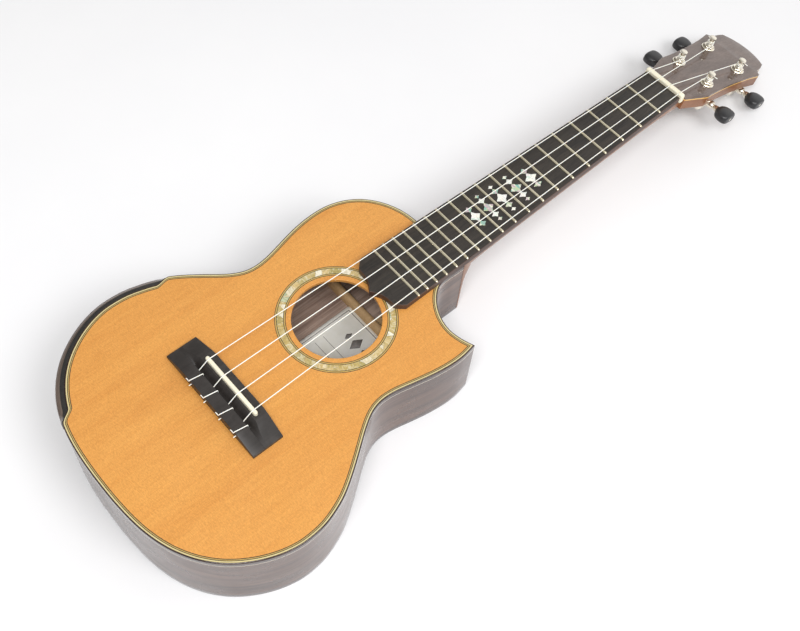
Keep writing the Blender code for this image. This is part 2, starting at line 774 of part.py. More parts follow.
def bridge_section(x):
    reach = abs(x)
    fall = min(max((reach - 29.5) / (BRIDGE_HALF - 29.5), 0.0), 1.0)
    top = BRIDGE_TOP + (wing_top - BRIDGE_TOP) * fall
    scoop = 1.0 - min(max((reach - 30.0) / 11.0, 0.0), 1.0)
    floor = top - 0.05 - (BRIDGE_TOP + 3.6) * scoop ** 1.4
    front = BRIDGE_FRONT - 1.7 * min(max((reach - 26.0) / (BRIDGE_HALF - 26.0), 0.0), 1.0)
    crest = SADDLE_Y - 2.8 - 3.0 * (1 - scoop)
    return [
        (x, front, bridge_low), (x, front, top - 0.5), (x, front - 0.6, top), (x, crest, top - 0.02),
        (x, CHANNEL_Y + 1.2, floor), (x, TIE_FRONT + 0.1, floor), (x, TIE_FRONT, top - 0.6 * scoop),
        (x, TIE_FRONT - 0.5, top), (x, BRIDGE_BACK + 0.5, top), (x, BRIDGE_BACK, top - 0.5),
        (x, BRIDGE_BACK, bridge_low),
    ]


bridge_x = (29.5, 33.0, 37.0, 41.0, BRIDGE_HALF)
stations = [bridge_section(-x) for x in bridge_x[::-1]] + [bridge_section(-15.0), bridge_section(15.0)]
stations += [bridge_section(x) for x in bridge_x]
bridge = add_object("bridge", *loft(stations), "ebony", smooth=25.0)


def slot_loop(half, wide, centre_y, count=6):
    """An outline with round ends, long in X."""
    loop = []
    for side in (1, -1):
        for step in range(count + 1):
            angle = -math.pi / 2 + math.pi * step / count
            x = half - wide + wide * math.cos(angle)
            loop.append((side * x, centre_y + side * wide * math.sin(angle)))
    return loop


saddle_low = -3.0
slot_shape = prism(
    [slot_loop(SADDLE_HALF + CLEAR, SADDLE_THICK / 2 + CLEAR, SADDLE_Y)],
    level(saddle_low - CLEAR),
    level(6.0),
)
add_boolean(bridge, add_object("saddle_slot", *slot_shape, None), "DIFFERENCE")
TIE_HOLE_Z = -1.9
TIE_STEP = 5.0
hole_shapes = []
for x in sorted([*STRING_SADDLE_X, *[x + TIE_STEP for x in STRING_SADDLE_X]]):
    rim = circle(x, TIE_HOLE_Z, 0.9, 8)
    hole_shapes.append(loft([[(a, BRIDGE_BACK - 3.0, b) for a, b in rim], [(a, TIE_FRONT + 0.5, b) for a, b in rim]]))
add_boolean(bridge, add_object("tie_holes", *joined(hole_shapes), None), "DIFFERENCE")

saddle_top = STRING_SADDLE_Z - STRING_R - CLEAR
saddle_loops = []
for z, inset in ((saddle_low, 0.0), (saddle_top - 0.9, 0.0), (saddle_top - 0.25, 0.35), (saddle_top, 1.0)):
    loop = slot_loop(SADDLE_HALF - inset, SADDLE_THICK / 2 - inset, SADDLE_Y)
    saddle_loops.append([(x, y, z) for x, y in loop])
add_object("saddle", *loft(saddle_loops), "bone", smooth=50.0)

# Tuners. Each is built for the +X side and mirrored in X for the other
FLOOR_H = -HEAD_THICK - 9.6
WORM_H = -HEAD_THICK - 4.9
GEAR_FACE = 2.6
GEAR_R = WORM_OFFSET - WORM_R
PITCH = 2 * math.pi * GEAR_R / GEAR_TEETH
POST_R = 3.0
SHAFT_R = 1.9
RUNNING = 0.04
GRIP_X = 17.3


def mirrored(verts, side):
    return [(x * side, y, z) for x, y, z in verts]


def gear_loops():
    """Cross-sections of the wheel, twisted to follow the worm's lead."""
    lead = PITCH / (2 * math.pi * WORM_R)
    loops = []
    for height in (WORM_H - GEAR_FACE / 2, WORM_H + GEAR_FACE / 2):
        twist = (height - WORM_H) * lead / GEAR_R
        loop = []
        for tooth in range(GEAR_TEETH):
            for share, radius in ((-0.34, 3.95), (-0.13, GEAR_TIP), (0.13, GEAR_TIP), (0.34, 3.95)):
                angle = math.pi / 2 + twist + 2 * math.pi * (tooth + share + 0.5) / GEAR_TEETH
                loop.append((radius * math.cos(angle), radius * math.sin(angle), height))
        loops.append(loop)
    return loops


def worm_thread():
    """A trapezoid ridge wound on the shaft; at its middle it sits between two teeth of the wheel."""
    stations = []
    steps = 9
    turns = 2.5
    for i in range(int(turns * steps) + 1):
        angle = 2 * math.pi * (i / steps - turns / 2)
        x = PITCH * angle / (2 * math.pi) + PITCH / 2
        loop = []
        for share, radius in ((-0.3, 1.5), (-0.11, 2.75), (0.11, 2.75), (0.3, 1.5)):
            turn = angle + math.pi * 1.5
            loop.append(
                (
                    x + share * PITCH - PITCH / 2,
                    WORM_OFFSET + radius * math.sin(turn),
                    WORM_H - radius * math.cos(turn),
                )
            )
        stations.append(loop)
    return loft(stations)


def along_x(profile, centre_y, centre_z, count=12):
    """A turned solid about an X-parallel axis from (x, radius) points."""
    stations = []
    for x, radius in profile:
        stations.append([(x, centre_y + a, centre_z + b) for a, b in circle(0.0, 0.0, radius, count)])
    return loft(stations)


def knob_shape():
    """The grip: an oval lozenge, narrower at the shaft end."""
    rows = ((0.0, 0.34, 0.55), (0.07, 0.62, 0.80), (0.28, 0.88, 0.97), (0.55, 1.0, 1.0), (0.82, 0.9, 0.9),
            (0.96, 0.62, 0.66), (1.0, 0.36, 0.4))
    loops = []
    for share, wide, thick in rows:
        loop = []
        for i in range(14):
            angle = 2 * math.pi * i / 14
            c = math.cos(angle)
            s = math.sin(angle)
            loop.append(
                (
                    GRIP_X + 13.6 * share,
                    WORM_OFFSET + 8.6 * wide * math.copysign(abs(c) ** 0.8, c),
                    WORM_H + 5.0 * thick * math.copysign(abs(s) ** 0.7, s),
                )
            )
        loops.append(loop)
    return loft(loops)


def bore_radius(shaft, count):
    """Corner radius of a many-sided bore whose flats clear the shaft by the running clearance."""
    return (shaft + RUNNING) / math.cos(math.pi / count)


def hex_radius(i, count, apothem):
    angle = 2 * math.pi * i / count
    return apothem / math.cos((angle + math.pi / 6) % (math.pi / 3) - math.pi / 6)


for number, (px, py) in enumerate(POSTS, start=1):
    side = 1.0 if px > 0 else -1.0
    post_axis = bpy.data.objects.new(f"post_axis_{number}", None)
    knob_axis = bpy.data.objects.new(f"knob_axis_{number}", None)
    for empty, place in ((post_axis, (px, py, 0.0)), (knob_axis, (px, py + WORM_OFFSET, WORM_H))):
        bpy.context.scene.collection.objects.link(empty)
        empty.parent = head
        empty.location = Vector(place) * MM

    # Post and wheel, with a hole for the string
    profile = [
        (2.2, FLOOR_H + 1.9), (2.6, FLOOR_H + 2.2), (2.6, WORM_H), (POST_R, WORM_H + 2.0),
        (POST_R, 3.4), (2.3, 4.0), (2.3, 8.7), (3.1, 9.4), (3.15, 10.3), (2.6, 11.1), (1.9, 11.3),
    ]
    verts, faces = turned(profile, 12)
    post = add_object(f"post_{number}", mirrored(verts, side), faces, "nickel", parent=post_axis, smooth=30.0)
    verts, faces = loft(gear_loops())
    wheel = add_object(f"wheel_shape_{number}", mirrored(verts, side), faces, None, parent=post_axis)
    add_boolean(post, wheel, "UNION")
    rim = circle(0.0, 9.75 - 3.3, 0.75, 8)
    bore = add_object(
        f"string_bore_{number}",
        *loft([[(-6.0, a, b) for a, b in rim], [(6.0, a, b) for a, b in rim]]),
        None,
        parent=post_axis,
    )
    add_boolean(post, bore, "DIFFERENCE")

    # Bushing: sleeve, washer and hexagon
    count = 12
    shape = []
    for radius, height in ((BUSH_R, -10.5), (BUSH_R, CLEAR), (5.8, CLEAR), (5.6, CLEAR + 0.9)):
        shape.append([(x, y, height) for x, y in circle(0.0, 0.0, radius, count)])
    for grow, height in ((0.0, CLEAR + 0.9), (0.0, CLEAR + 2.5), (-0.5, CLEAR + 2.9)):
        loop = []
        for i in range(count):
            radius = hex_radius(i, count, 4.3) + grow
            angle = 2 * math.pi * i / count
            loop.append((radius * math.cos(angle), radius * math.sin(angle), height))
        shape.append(loop)
    for height in (CLEAR + 2.9, -10.5):
        shape.append([(x, y, height) for x, y in circle(0.0, 0.0, bore_radius(POST_R, count), count)])
    verts, faces = loft(shape, closed_ring=True)
    ferrule = add_object(f"ferrule_{number}", verts, faces, "nickel", parent=head, smooth=30.0)
    ferrule.location = Vector((px, py, 0.0)) * MM

    # Housing: an open-topped cup on the back of the headstock
    lid = -HEAD_THICK - CLEAR
    outer = [(-8.2, -7.6), (8.2, -7.6), (9.2, -6.2), (9.2, 11.0), (8.0, 12.2), (-8.0, 12.2), (-9.2, 11.0), (-9.2, -6.2)]
    cavity = [(-6.9, -6.2), (6.9, -6.2), (7.5, -5.6), (7.5, 10.2), (6.9, 10.8), (-6.9, 10.8), (-7.5, 10.2), (-7.5, -5.6)]
    rounded = [(x * 0.93, y * 0.93 + 0.15) for x, y in outer]
    cup = [
        [(x, y, FLOOR_H) for x, y in rounded],
        [(x, y, FLOOR_H + 1.0) for x, y in outer],
        [(x, y, lid) for x, y in outer],
        [(x, y, lid) for x, y in cavity],
        [(x, y, FLOOR_H + 1.4) for x, y in cavity],
    ]
    verts, faces = loft(cup)
    housing = add_object(f"housing_{number}", mirrored(verts, side), faces, "nickel", parent=head, smooth=30.0)
    housing.location = Vector((px, py, 0.0)) * MM
    verts, faces = along_x([(8.0, 3.3), (10.4, 3.3), (12.4, 2.7)], WORM_OFFSET, WORM_H)
    boss = add_object(f"boss_shape_{number}", mirrored(verts, side), faces, None, parent=head)
    boss.location = housing.location
    add_boolean(housing, boss, "UNION")
    reach = bore_radius(SHAFT_R, 12)
    verts, faces = along_x([(6.5, reach), (13.5, reach)], WORM_OFFSET, WORM_H)
    bearing = add_object(f"bearing_shape_{number}", mirrored(verts, side), faces, None, parent=head)
    bearing.location = housing.location
    add_boolean(housing, bearing, "DIFFERENCE")

    # Worm shaft and grip, which turn together
    shaft = [
        (-6.0, 1.3), (-5.2, 1.6), (6.9, 1.6), (6.95, SHAFT_R), (14.0, SHAFT_R), (14.6, 2.5), (16.9, 2.9),
        (17.0, 1.5), (26.0, 1.5),
    ]
    verts, faces = along_x(shaft, WORM_OFFSET, WORM_H)
    place = Vector((px, py, 0.0)) * MM - knob_axis.location
    worm = add_object(f"worm_shaft_{number}", mirrored(verts, side), faces, "nickel", parent=knob_axis, smooth=30.0)
    worm.location = place
    verts, faces = worm_thread()
    thread = add_object(f"thread_shape_{number}", mirrored(verts, side), faces, None, parent=knob_axis)
    thread.location = place
    add_boolean(worm, thread, "UNION")
    verts, faces = knob_shape()
    button = add_object(f"button_{number}", mirrored(verts, side), faces, "black_plastic", parent=knob_axis, smooth=60.0)
    button.location = place
    verts, faces = along_x([(16.0, 1.8), (26.5, 1.8)], WORM_OFFSET, WORM_H)
    socket = add_object(f"socket_shape_{number}", mirrored(verts, side), faces, None, parent=knob_axis)
    socket.location = place
    add_boolean(button, socket, "DIFFERENCE")

# Strings: each one taut tube from the tie block over saddle and nut to the turns on its post
tilt = math.radians(HEAD_TILT)
TURNS = 2.25
TURN_PITCH = 1.16
TURN_POINTS = 24
WIND_R = 2.3 + STRING_R + 0.08
FIRST_TURN_H = 4.75


def head_point(x, along, height):
    """A point given on the headstock, in the playing frame."""
    y = HEAD_START[0] + along * math.cos(tilt) + height * math.sin(tilt)
    z = HEAD_START[1] - along * math.sin(tilt) + height * math.cos(tilt)
    return (x, y, z)


def to_head(y, z):
    dy = y - HEAD_START[0]
    dz = z - HEAD_START[1]
    return (dy * math.cos(tilt) - dz * math.sin(tilt), dy * math.sin(tilt) + dz * math.cos(tilt))


def string_points(nut_x, saddle_x, post):
    top = BRIDGE_TOP + STRING_R + CLEAR
    rear = BRIDGE_BACK - STRING_R - CLEAR
    face = TIE_FRONT + STRING_R + CLEAR
    tied_x = saddle_x + TIE_STEP
    over_x = tied_x - 1.5
    side_z = top - 1.2
    points = [(tied_x, rear - 1.6, TIE_HOLE_Z), (tied_x, face - 0.8, TIE_HOLE_Z)]
    points += [(tied_x, face, TIE_HOLE_Z + 0.6), (tied_x, face, top - 0.7), (tied_x, face - 0.6, top)]
    points += [(over_x, rear + 0.7, top), (over_x, rear, top - 0.6), (over_x - 0.6, rear, side_z)]
    points += [(saddle_x + 0.6, rear, side_z), (saddle_x, rear, side_z - 0.6)]
    points += [(saddle_x, rear, TIE_HOLE_Z + 0.6), (saddle_x, rear + 0.7, TIE_HOLE_Z)]
    points += [(saddle_x, TIE_FRONT + 0.3, TIE_HOLE_Z)]
    points += [(saddle_x, SADDLE_Y - 2.2, STRING_SADDLE_Z - 0.75), (saddle_x, SADDLE_Y - 0.6, STRING_SADDLE_Z)]
    points += [(saddle_x, SADDLE_Y + 1.0, STRING_SADDLE_Z + 0.0)]
    points += [(nut_x, 1.2, STRING_NUT_Z), (nut_x, 2.6, STRING_NUT_Z)]
    along, _ = to_head(2.6, STRING_NUT_Z)
    centre = Vector(post)
    start = Vector((nut_x, along))
    gap = start - centre
    spin = 1.0 if post[0] < 0 else -1.0
    lean = math.acos(WIND_R / gap.length)
    first = math.atan2(gap.y, gap.x) + spin * lean
    for i in range(round(TURNS * TURN_POINTS) + 1):
        angle = first + spin * 2 * math.pi * i / TURN_POINTS
        height = FIRST_TURN_H + TURN_PITCH * i / TURN_POINTS
        points.append(head_point(post[0] + WIND_R * math.cos(angle), post[1] + WIND_R * math.sin(angle), height))
    last = first + spin * 2 * math.pi * TURNS
    for reach in (1.2, 5.0):
        x = post[0] + WIND_R * math.cos(last) - spin * reach * math.sin(last)
        y = post[1] + WIND_R * math.sin(last) + spin * reach * math.cos(last)
        points.append(head_point(x, y, FIRST_TURN_H + TURN_PITCH * TURNS + 0.06 * reach))
    return points


def least_gap(points, radius, skip):
    """Nearest surface-to-surface distance between stretches of one tube more than skip apart along it."""
    dense = []
    for a, b in zip(points, points[1:]):
        steps = max(1, int(np.linalg.norm(np.subtract(b, a)) / 0.35))
        for k in range(steps):
            dense.append(np.array(a) + (np.array(b) - np.array(a)) * k / steps)
    dense = np.array(dense)
    run = np.concatenate([[0.0], np.cumsum(np.linalg.norm(np.diff(dense, axis=0), axis=1))])
    apart = np.abs(run[:, None] - run[None, :]) > skip
    distance = np.linalg.norm(dense[:, None, :] - dense[None, :, :], axis=2)
    return float(distance[apart].min()) - 2 * radius


for number in range(4):
    route = string_points(STRING_NUT_X[number], STRING_SADDLE_X[number], POSTS[number])
    name = f"string_{number + 1}"
    curve = bpy.data.curves.new(name, "CURVE")
    curve.dimensions = "3D"
    curve.bevel_depth = STRING_R * MM
    curve.bevel_resolution = 1
    curve.use_fill_caps = True
    spline = curve.splines.new("POLY")
    spline.points.add(len(route) - 1)
    for point, place in zip(spline.points, route):
        point.co = (place[0] * MM, place[1] * MM, place[2] * MM, 1.0)
    curve.materials.append(new_material(name + "_material", "nylon"))
    made = bpy.data.objects.new(name, curve)
    bpy.context.scene.collection.objects.link(made)
    made.parent = root
    print(name, len(route), "points, least gap to itself", round(least_gap(route, STRING_R, 4.0), 3), "mm")

# The back lies on Z 0, with the origin under the middle of the whole
lean = -math.atan(SLOPE)
root.rotation_euler = (lean, 0.0, 0.0)
head_end = head_point(0.0, HEAD_TIP, 0.0)
tail_point = Vector((0.0, TAIL_Y, back_z(TAIL_Y))) * MM
tail_point.rotate(Matrix.Rotation(lean, 3, "X"))
tip_point = Vector(head_end) * MM
tip_point.rotate(Matrix.Rotation(lean, 3, "X"))
root.location = (ARM_PROUD * MM / 2, -(tail_point.y + tip_point.y) / 2, -tail_point.z)
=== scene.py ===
"""Looks of a cutaway tenor ukulele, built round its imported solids.

Sizes in the code are millimetres in the playing frame: soundboard level, +Z up, +Y towards the headstock, +X the
cutaway side, Z 0 at the fret crowns and Y 0 at the nut's front face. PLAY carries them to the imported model.
"""

import math

import bmesh
import bpy
import numpy as np
from mathutils import Matrix, Vector
from mathutils.geometry import tessellate_polygon


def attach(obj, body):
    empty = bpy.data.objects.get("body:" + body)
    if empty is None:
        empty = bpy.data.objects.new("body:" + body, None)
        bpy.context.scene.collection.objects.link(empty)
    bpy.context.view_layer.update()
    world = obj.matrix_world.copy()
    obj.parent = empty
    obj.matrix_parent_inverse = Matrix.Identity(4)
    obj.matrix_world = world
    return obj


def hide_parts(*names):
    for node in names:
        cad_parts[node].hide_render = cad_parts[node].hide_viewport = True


bl_info = {
    "name": "Tenor Ukulele",
    "version": (1, 0, 0),
    "blender": (4, 5, 0),
    "location": "View3D > Sidebar > Ukulele",
    "description": "Builds a cutaway tenor ukulele with its finishes around the packed solids",
    "category": "Add Mesh",
}

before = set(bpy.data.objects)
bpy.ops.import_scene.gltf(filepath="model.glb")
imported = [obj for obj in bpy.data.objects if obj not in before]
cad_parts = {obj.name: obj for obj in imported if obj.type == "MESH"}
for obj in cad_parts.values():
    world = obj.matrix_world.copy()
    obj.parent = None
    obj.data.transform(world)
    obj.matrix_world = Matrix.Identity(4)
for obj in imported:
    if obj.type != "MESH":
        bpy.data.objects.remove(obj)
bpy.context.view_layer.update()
MM = 0.001

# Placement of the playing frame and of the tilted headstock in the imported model
DEPTH_AT_NECK = 59.0
DEPTH_AT_TAIL = 68.0
JOIN_Y = -241.7
TAIL_Y = -533.5
SLOPE = (DEPTH_AT_TAIL - DEPTH_AT_NECK) / (JOIN_Y - TAIL_Y)
PLAY = Matrix.Translation((0.00065, 0.207928, 0.058018)) @ Matrix.Rotation(-math.atan(SLOPE), 4, "X")
HEAD_START = (4.5, -3.0)
HEAD_TILT = math.radians(15.0)
HEAD = PLAY @ Matrix.Translation((0.0, HEAD_START[0] * MM, HEAD_START[1] * MM)) @ Matrix.Rotation(-HEAD_TILT, 4, "X")

# Levels, widths and counts that the pieces share
TOP_Z = -6.5
PLATE = 2.5
BOARD_TOP = -1.0
NUT_HALF = 18.2
BOARD_FLARE = 0.0247
BOARD_LEAN = -1.25
SCALE_LENGTH = 430.0
FRET_COUNT = 19
HOLE_Y = -340.6
HOLE_R = 31.6
CUT_X = 24.0
SADDLE_Y = -430.2
HEAD_THICK = 12.0
HEAD_PLATE = 2.0
LEDGE = 1.3
CHANNEL = 1.2
RING_COUNT = 144
STRING_R = 0.35
POSTS = ((-15.3, 37.0), (-16.4, 82.5), (16.4, 82.5), (15.3, 37.0))


def back_z(y):
    """Height of the outer back, which falls away towards the tail."""
    return TOP_Z - DEPTH_AT_NECK - SLOPE * (JOIN_Y - y)


def above_back(lift):
    """Heights over the outer back, as a function of y."""
    return lambda y: back_z(y) + lift


def height_at(height, y):
    """A height, or what a function of y gives there."""
    return height(y) if callable(height) else height


def steps_of(total, count):
    return [total * i / count for i in range(count + 1)]


def eased(value):
    """0 below 0 and 1 above 1, with a smooth rise between."""
    t = min(max(value, 0.0), 1.0)
    return t * t * (3 - 2 * t)


def board_half(y):
    return NUT_HALF + BOARD_FLARE * abs(y)


def board_middle(y):
    """The fretboard's middle line: it follows the strings, and fades out on the body and on the headstock."""
    if y > 0:
        return BOARD_LEAN * min(max((22.0 - y) / 16.0, 0.0), 1.0)
    return BOARD_LEAN * max(1 + y / 300.0, 0.0)


def fret_y(n):
    return -SCALE_LENGTH * (1 - 2 ** (-n / 12))


# Sizes and colours that a user would change
def size(name, description, millimetres):
    return bpy.props.FloatProperty(
        name=name, description=description, default=millimetres * MM, min=0.0, unit="LENGTH", precision=5
    )


def tint(name, description, colour):
    return bpy.props.FloatVectorProperty(
        name=name, description=description, default=colour, size=3, min=0.0, max=1.0, subtype="COLOR"
    )


def share(name, description, value):
    return bpy.props.FloatProperty(
        name=name, description=description, default=value, min=0.0, max=1.0, subtype="FACTOR"
    )


class BodySizes(bpy.types.PropertyGroup):
    """Sizes of the soundbox's visible trim."""

    trim_width: size("Trim width", "Width of the lined strip round the soundboard", 3.4)
    binding_height: size("Binding height", "How far the binding reaches down the side", 4.5)
    light_line: size("Light line", "Height of the pale line under the binding", 0.55)
    rosette_in: size("Rosette inner radius", "Where the rosette starts", 35.3)
    rosette_out: size("Rosette outer radius", "Where the rosette ends", 43.1)
    arm_inset: size("Arm rest inset", "How far the arm rest cuts into the soundboard", 5.8)
    arm_proud: size("Arm rest bulge", "How far the arm rest stands out from the side", 1.3)


class NeckSizes(bpy.types.PropertyGroup):
    """Sizes of the neck's fittings."""

    fret_width: size("Fret width", "Width of a fret's crown", 2.1)
    fret_height: size("Fret height", "Height of a fret's crown over the board", 1.0)
    nut_half: size("Nut half width", "Half the length of the nut", 19.5)
    nut_thick: size("Nut thickness", "Size of the nut along the strings", 4.8)


class StringSizes(bpy.types.PropertyGroup):
    """Sizes of the strings and of their windings."""

    radius: size("String radius", "Radius of every string", 0.35)
    turn_pitch: size("Turn pitch", "Rise of the winding on a post in one turn", 1.16)


class Finishes(bpy.types.PropertyGroup):
    """Colours of the woods and other materials."""

    top_light: tint("Soundboard", "Light colour of the soundboard", (0.88, 0.435, 0.106))
    top_dark: tint("Soundboard grain", "Dark colour of the soundboard's grain", (0.68, 0.28, 0.055))
    side_light: tint("Side", "Light colour of the sides and back", (0.15, 0.085, 0.061))
    side_dark: tint("Side streaks", "Dark colour of the sides and back", (0.034, 0.016, 0.0125))
    neck_light: tint("Neck", "Light colour of the neck", (0.3, 0.122, 0.047))
    neck_dark: tint("Neck grain", "Dark colour of the neck's grain", (0.165, 0.063, 0.027))
    black_wood: tint("Black wood", "Colour of the bridge", (0.022, 0.018, 0.016))
    bone: tint("Bone", "Colour of the nut and saddle", (0.86, 0.81, 0.64))
    gloss: share("Gloss", "Strength of the clear coat on lacquered wood", 1.0)


# Shader groups
def join(tree, source, target):
    tree.links.new(source, target)


def feed(tree, socket, value):
    """Gives a socket its value: another socket, a number or a colour."""
    if isinstance(value, bpy.types.NodeSocket):
        tree.links.new(value, socket)
    else:
        socket.default_value = (*value, 1.0) if isinstance(value, (tuple, list)) else value


def maths(tree, operation, *operands, clamp=False):
    node = tree.nodes.new("ShaderNodeMath")
    node.operation = operation
    node.use_clamp = clamp
    for socket, value in zip(node.inputs, operands):
        feed(tree, socket, value)
    return node.outputs[0]


def noise(tree, vector, scale=1.0, detail=3.0, rough=0.5, distortion=0.0):
    node = tree.nodes.new("ShaderNodeTexNoise")
    settings = {"Vector": vector, "Scale": scale, "Detail": detail, "Roughness": rough, "Distortion": distortion}
    for label, value in settings.items():
        feed(tree, node.inputs[label], value)
    return node.outputs["Fac"]


def mixed(tree, factor, first, second, blend="MIX"):
    """A colour Mix node, whose factor and two colours are its inputs 0, 6 and 7."""
    node = tree.nodes.new("ShaderNodeMix")
    node.data_type = "RGBA"
    node.blend_type = blend
    for index, value in ((0, factor), (6, first), (7, second)):
        feed(tree, node.inputs[index], value)
    return node.outputs[2]


def ranged(tree, value, low, high, to_low=0.0, to_high=1.0):
    node = tree.nodes.new("ShaderNodeMapRange")
    limits = {"Value": value, "From Min": low, "From Max": high, "To Min": to_low, "To Max": to_high}
    for label, number in limits.items():
        feed(tree, node.inputs[label], number)
    return node.outputs["Result"]


def per_axis(tree, vector, change):
    """The vector with each of its parts put through change(axis, part)."""
    parts = tree.nodes.new("ShaderNodeSeparateXYZ")
    whole = tree.nodes.new("ShaderNodeCombineXYZ")
    join(tree, vector, parts.inputs[0])
    for axis in range(3):
        join(tree, change(axis, parts.outputs[axis]), whole.inputs[axis])
    return whole.outputs[0]


def stretched(tree, vector, across, along):
    """The vector divided by two lengths, for marks that run along its Y."""
    lengths = (across, along, across)
    return per_axis(tree, vector, lambda axis, part: maths(tree, "DIVIDE", part, lengths[axis]))


def new_group(name, inputs, outputs):
    """A shader group that takes a vector and these values or colours, and its input and output nodes."""
    group = bpy.data.node_groups.new(name, "ShaderNodeTree")
    group.interface.new_socket("Vector", in_out="INPUT", socket_type="NodeSocketVector")
    for label, value in inputs.items():
        kind = "NodeSocketFloat" if isinstance(value, float) else "NodeSocketColor"
        feed(group, group.interface.new_socket(label, in_out="INPUT", socket_type=kind), value)
    for label in outputs:
        kind = "NodeSocketColor" if label == "Color" else "NodeSocketFloat"
        group.interface.new_socket(label, in_out="OUTPUT", socket_type=kind)
    return group, group.nodes.new("NodeGroupInput"), group.nodes.new("NodeGroupOutput")


def grain_group():
    """Lines and bands that run along Y: a colour and a height."""
    group, given, made = new_group(
        "Lengthwise grain",
        {
            "Light": (0.5, 0.3, 0.1), "Dark": (0.2, 0.1, 0.05), "Line Size": 0.001, "Band Size": 0.012,
            "Stretch": 40.0, "Lines": 0.5, "Bands": 0.5,
        },
        ("Color", "Height"),
    )
    put = given.outputs
    long_line = maths(group, "MULTIPLY", put["Line Size"], put["Stretch"])
    long_band = maths(group, "MULTIPLY", put["Band Size"], maths(group, "MULTIPLY", put["Stretch"], 0.35))
    lines = noise(group, stretched(group, put["Vector"], put["Line Size"], long_line), 1.0, 3.0, 0.55, 0.3)
    bands = noise(group, stretched(group, put["Vector"], put["Band Size"], long_band), 1.0, 2.0, 0.5, 0.6)
    line_part = maths(group, "MULTIPLY", maths(group, "SUBTRACT", lines, 0.5), put["Lines"])
    band_part = maths(group, "MULTIPLY", maths(group, "SUBTRACT", bands, 0.5), put["Bands"])
    amount = maths(group, "MULTIPLY_ADD", line_part, 3.0, 0.5)
    amount = maths(group, "ADD", amount, maths(group, "MULTIPLY", band_part, 3.0), clamp=True)
    join(group, mixed(group, amount, put["Light"], put["Dark"]), made.inputs["Color"])
    join(group, lines, made.inputs["Height"])
    return group


def fleck_group():
    """Short pale and dark flecks that lie across the grain: a factor round 0."""
    group, given, made = new_group("Cross flecks", {"Size": 0.0006, "Amount": 0.5}, ("Factor",))
    put = given.outputs
    wider = (2.6, 1.0, 1.0)

    def shrink(axis, part):
        return maths(group, "DIVIDE", part, maths(group, "MULTIPLY", put["Size"], wider[axis]))

    marks = noise(group, per_axis(group, put["Vector"], shrink), 1.0, 2.0, 0.55, 0.4)
    join(group, maths(group, "MULTIPLY", maths(group, "SUBTRACT", marks, 0.5), put["Amount"]), made.inputs["Factor"])
    return group


def pore_group():
    """Short dark pores that run along Y: a mask."""
    group, given, made = new_group("Open pores", {"Width": 0.0003, "Length": 0.004, "Share": 0.3}, ("Mask",))
    put = given.outputs
    marks = noise(group, stretched(group, put["Vector"], put["Width"], put["Length"]), 1.0, 1.0, 0.5)
    edge = maths(group, "MULTIPLY_ADD", put["Share"], -0.3, 0.78)
    top = maths(group, "ADD", edge, 0.07)
    join(group, ranged(group, marks, edge, top), made.inputs["Mask"])
    return group


def smudge_group():
    """Slow changes of roughness, as handling leaves."""
    group, given, made = new_group("Handling marks", {"Size": 0.03, "Least": 0.2, "Most": 0.4}, ("Roughness",))
    put = given.outputs
    clouds = noise(group, stretched(group, put["Vector"], put["Size"], put["Size"]), 1.0, 4.0, 0.6)
    join(group, ranged(group, clouds, 0.35, 0.65, put["Least"], put["Most"]), made.inputs["Roughness"])
    return group


def wear_group():
    """Edges that hands and cloths have rubbed: a mask."""
    group, given, made = new_group("Rubbed edges", {"Amount": 0.5}, ("Mask",))
    place = group.nodes.new("ShaderNodeNewGeometry")
    sharp = ranged(group, place.outputs["Pointiness"], 0.515, 0.6)
    patches = noise(group, stretched(group, given.outputs["Vector"], 0.006, 0.006), 1.0, 3.0, 0.6)
    rubbed = maths(group, "MULTIPLY", sharp, ranged(group, patches, 0.35, 0.6))
    join(group, maths(group, "MULTIPLY", rubbed, given.outputs["Amount"]), made.inputs["Mask"])
    return group


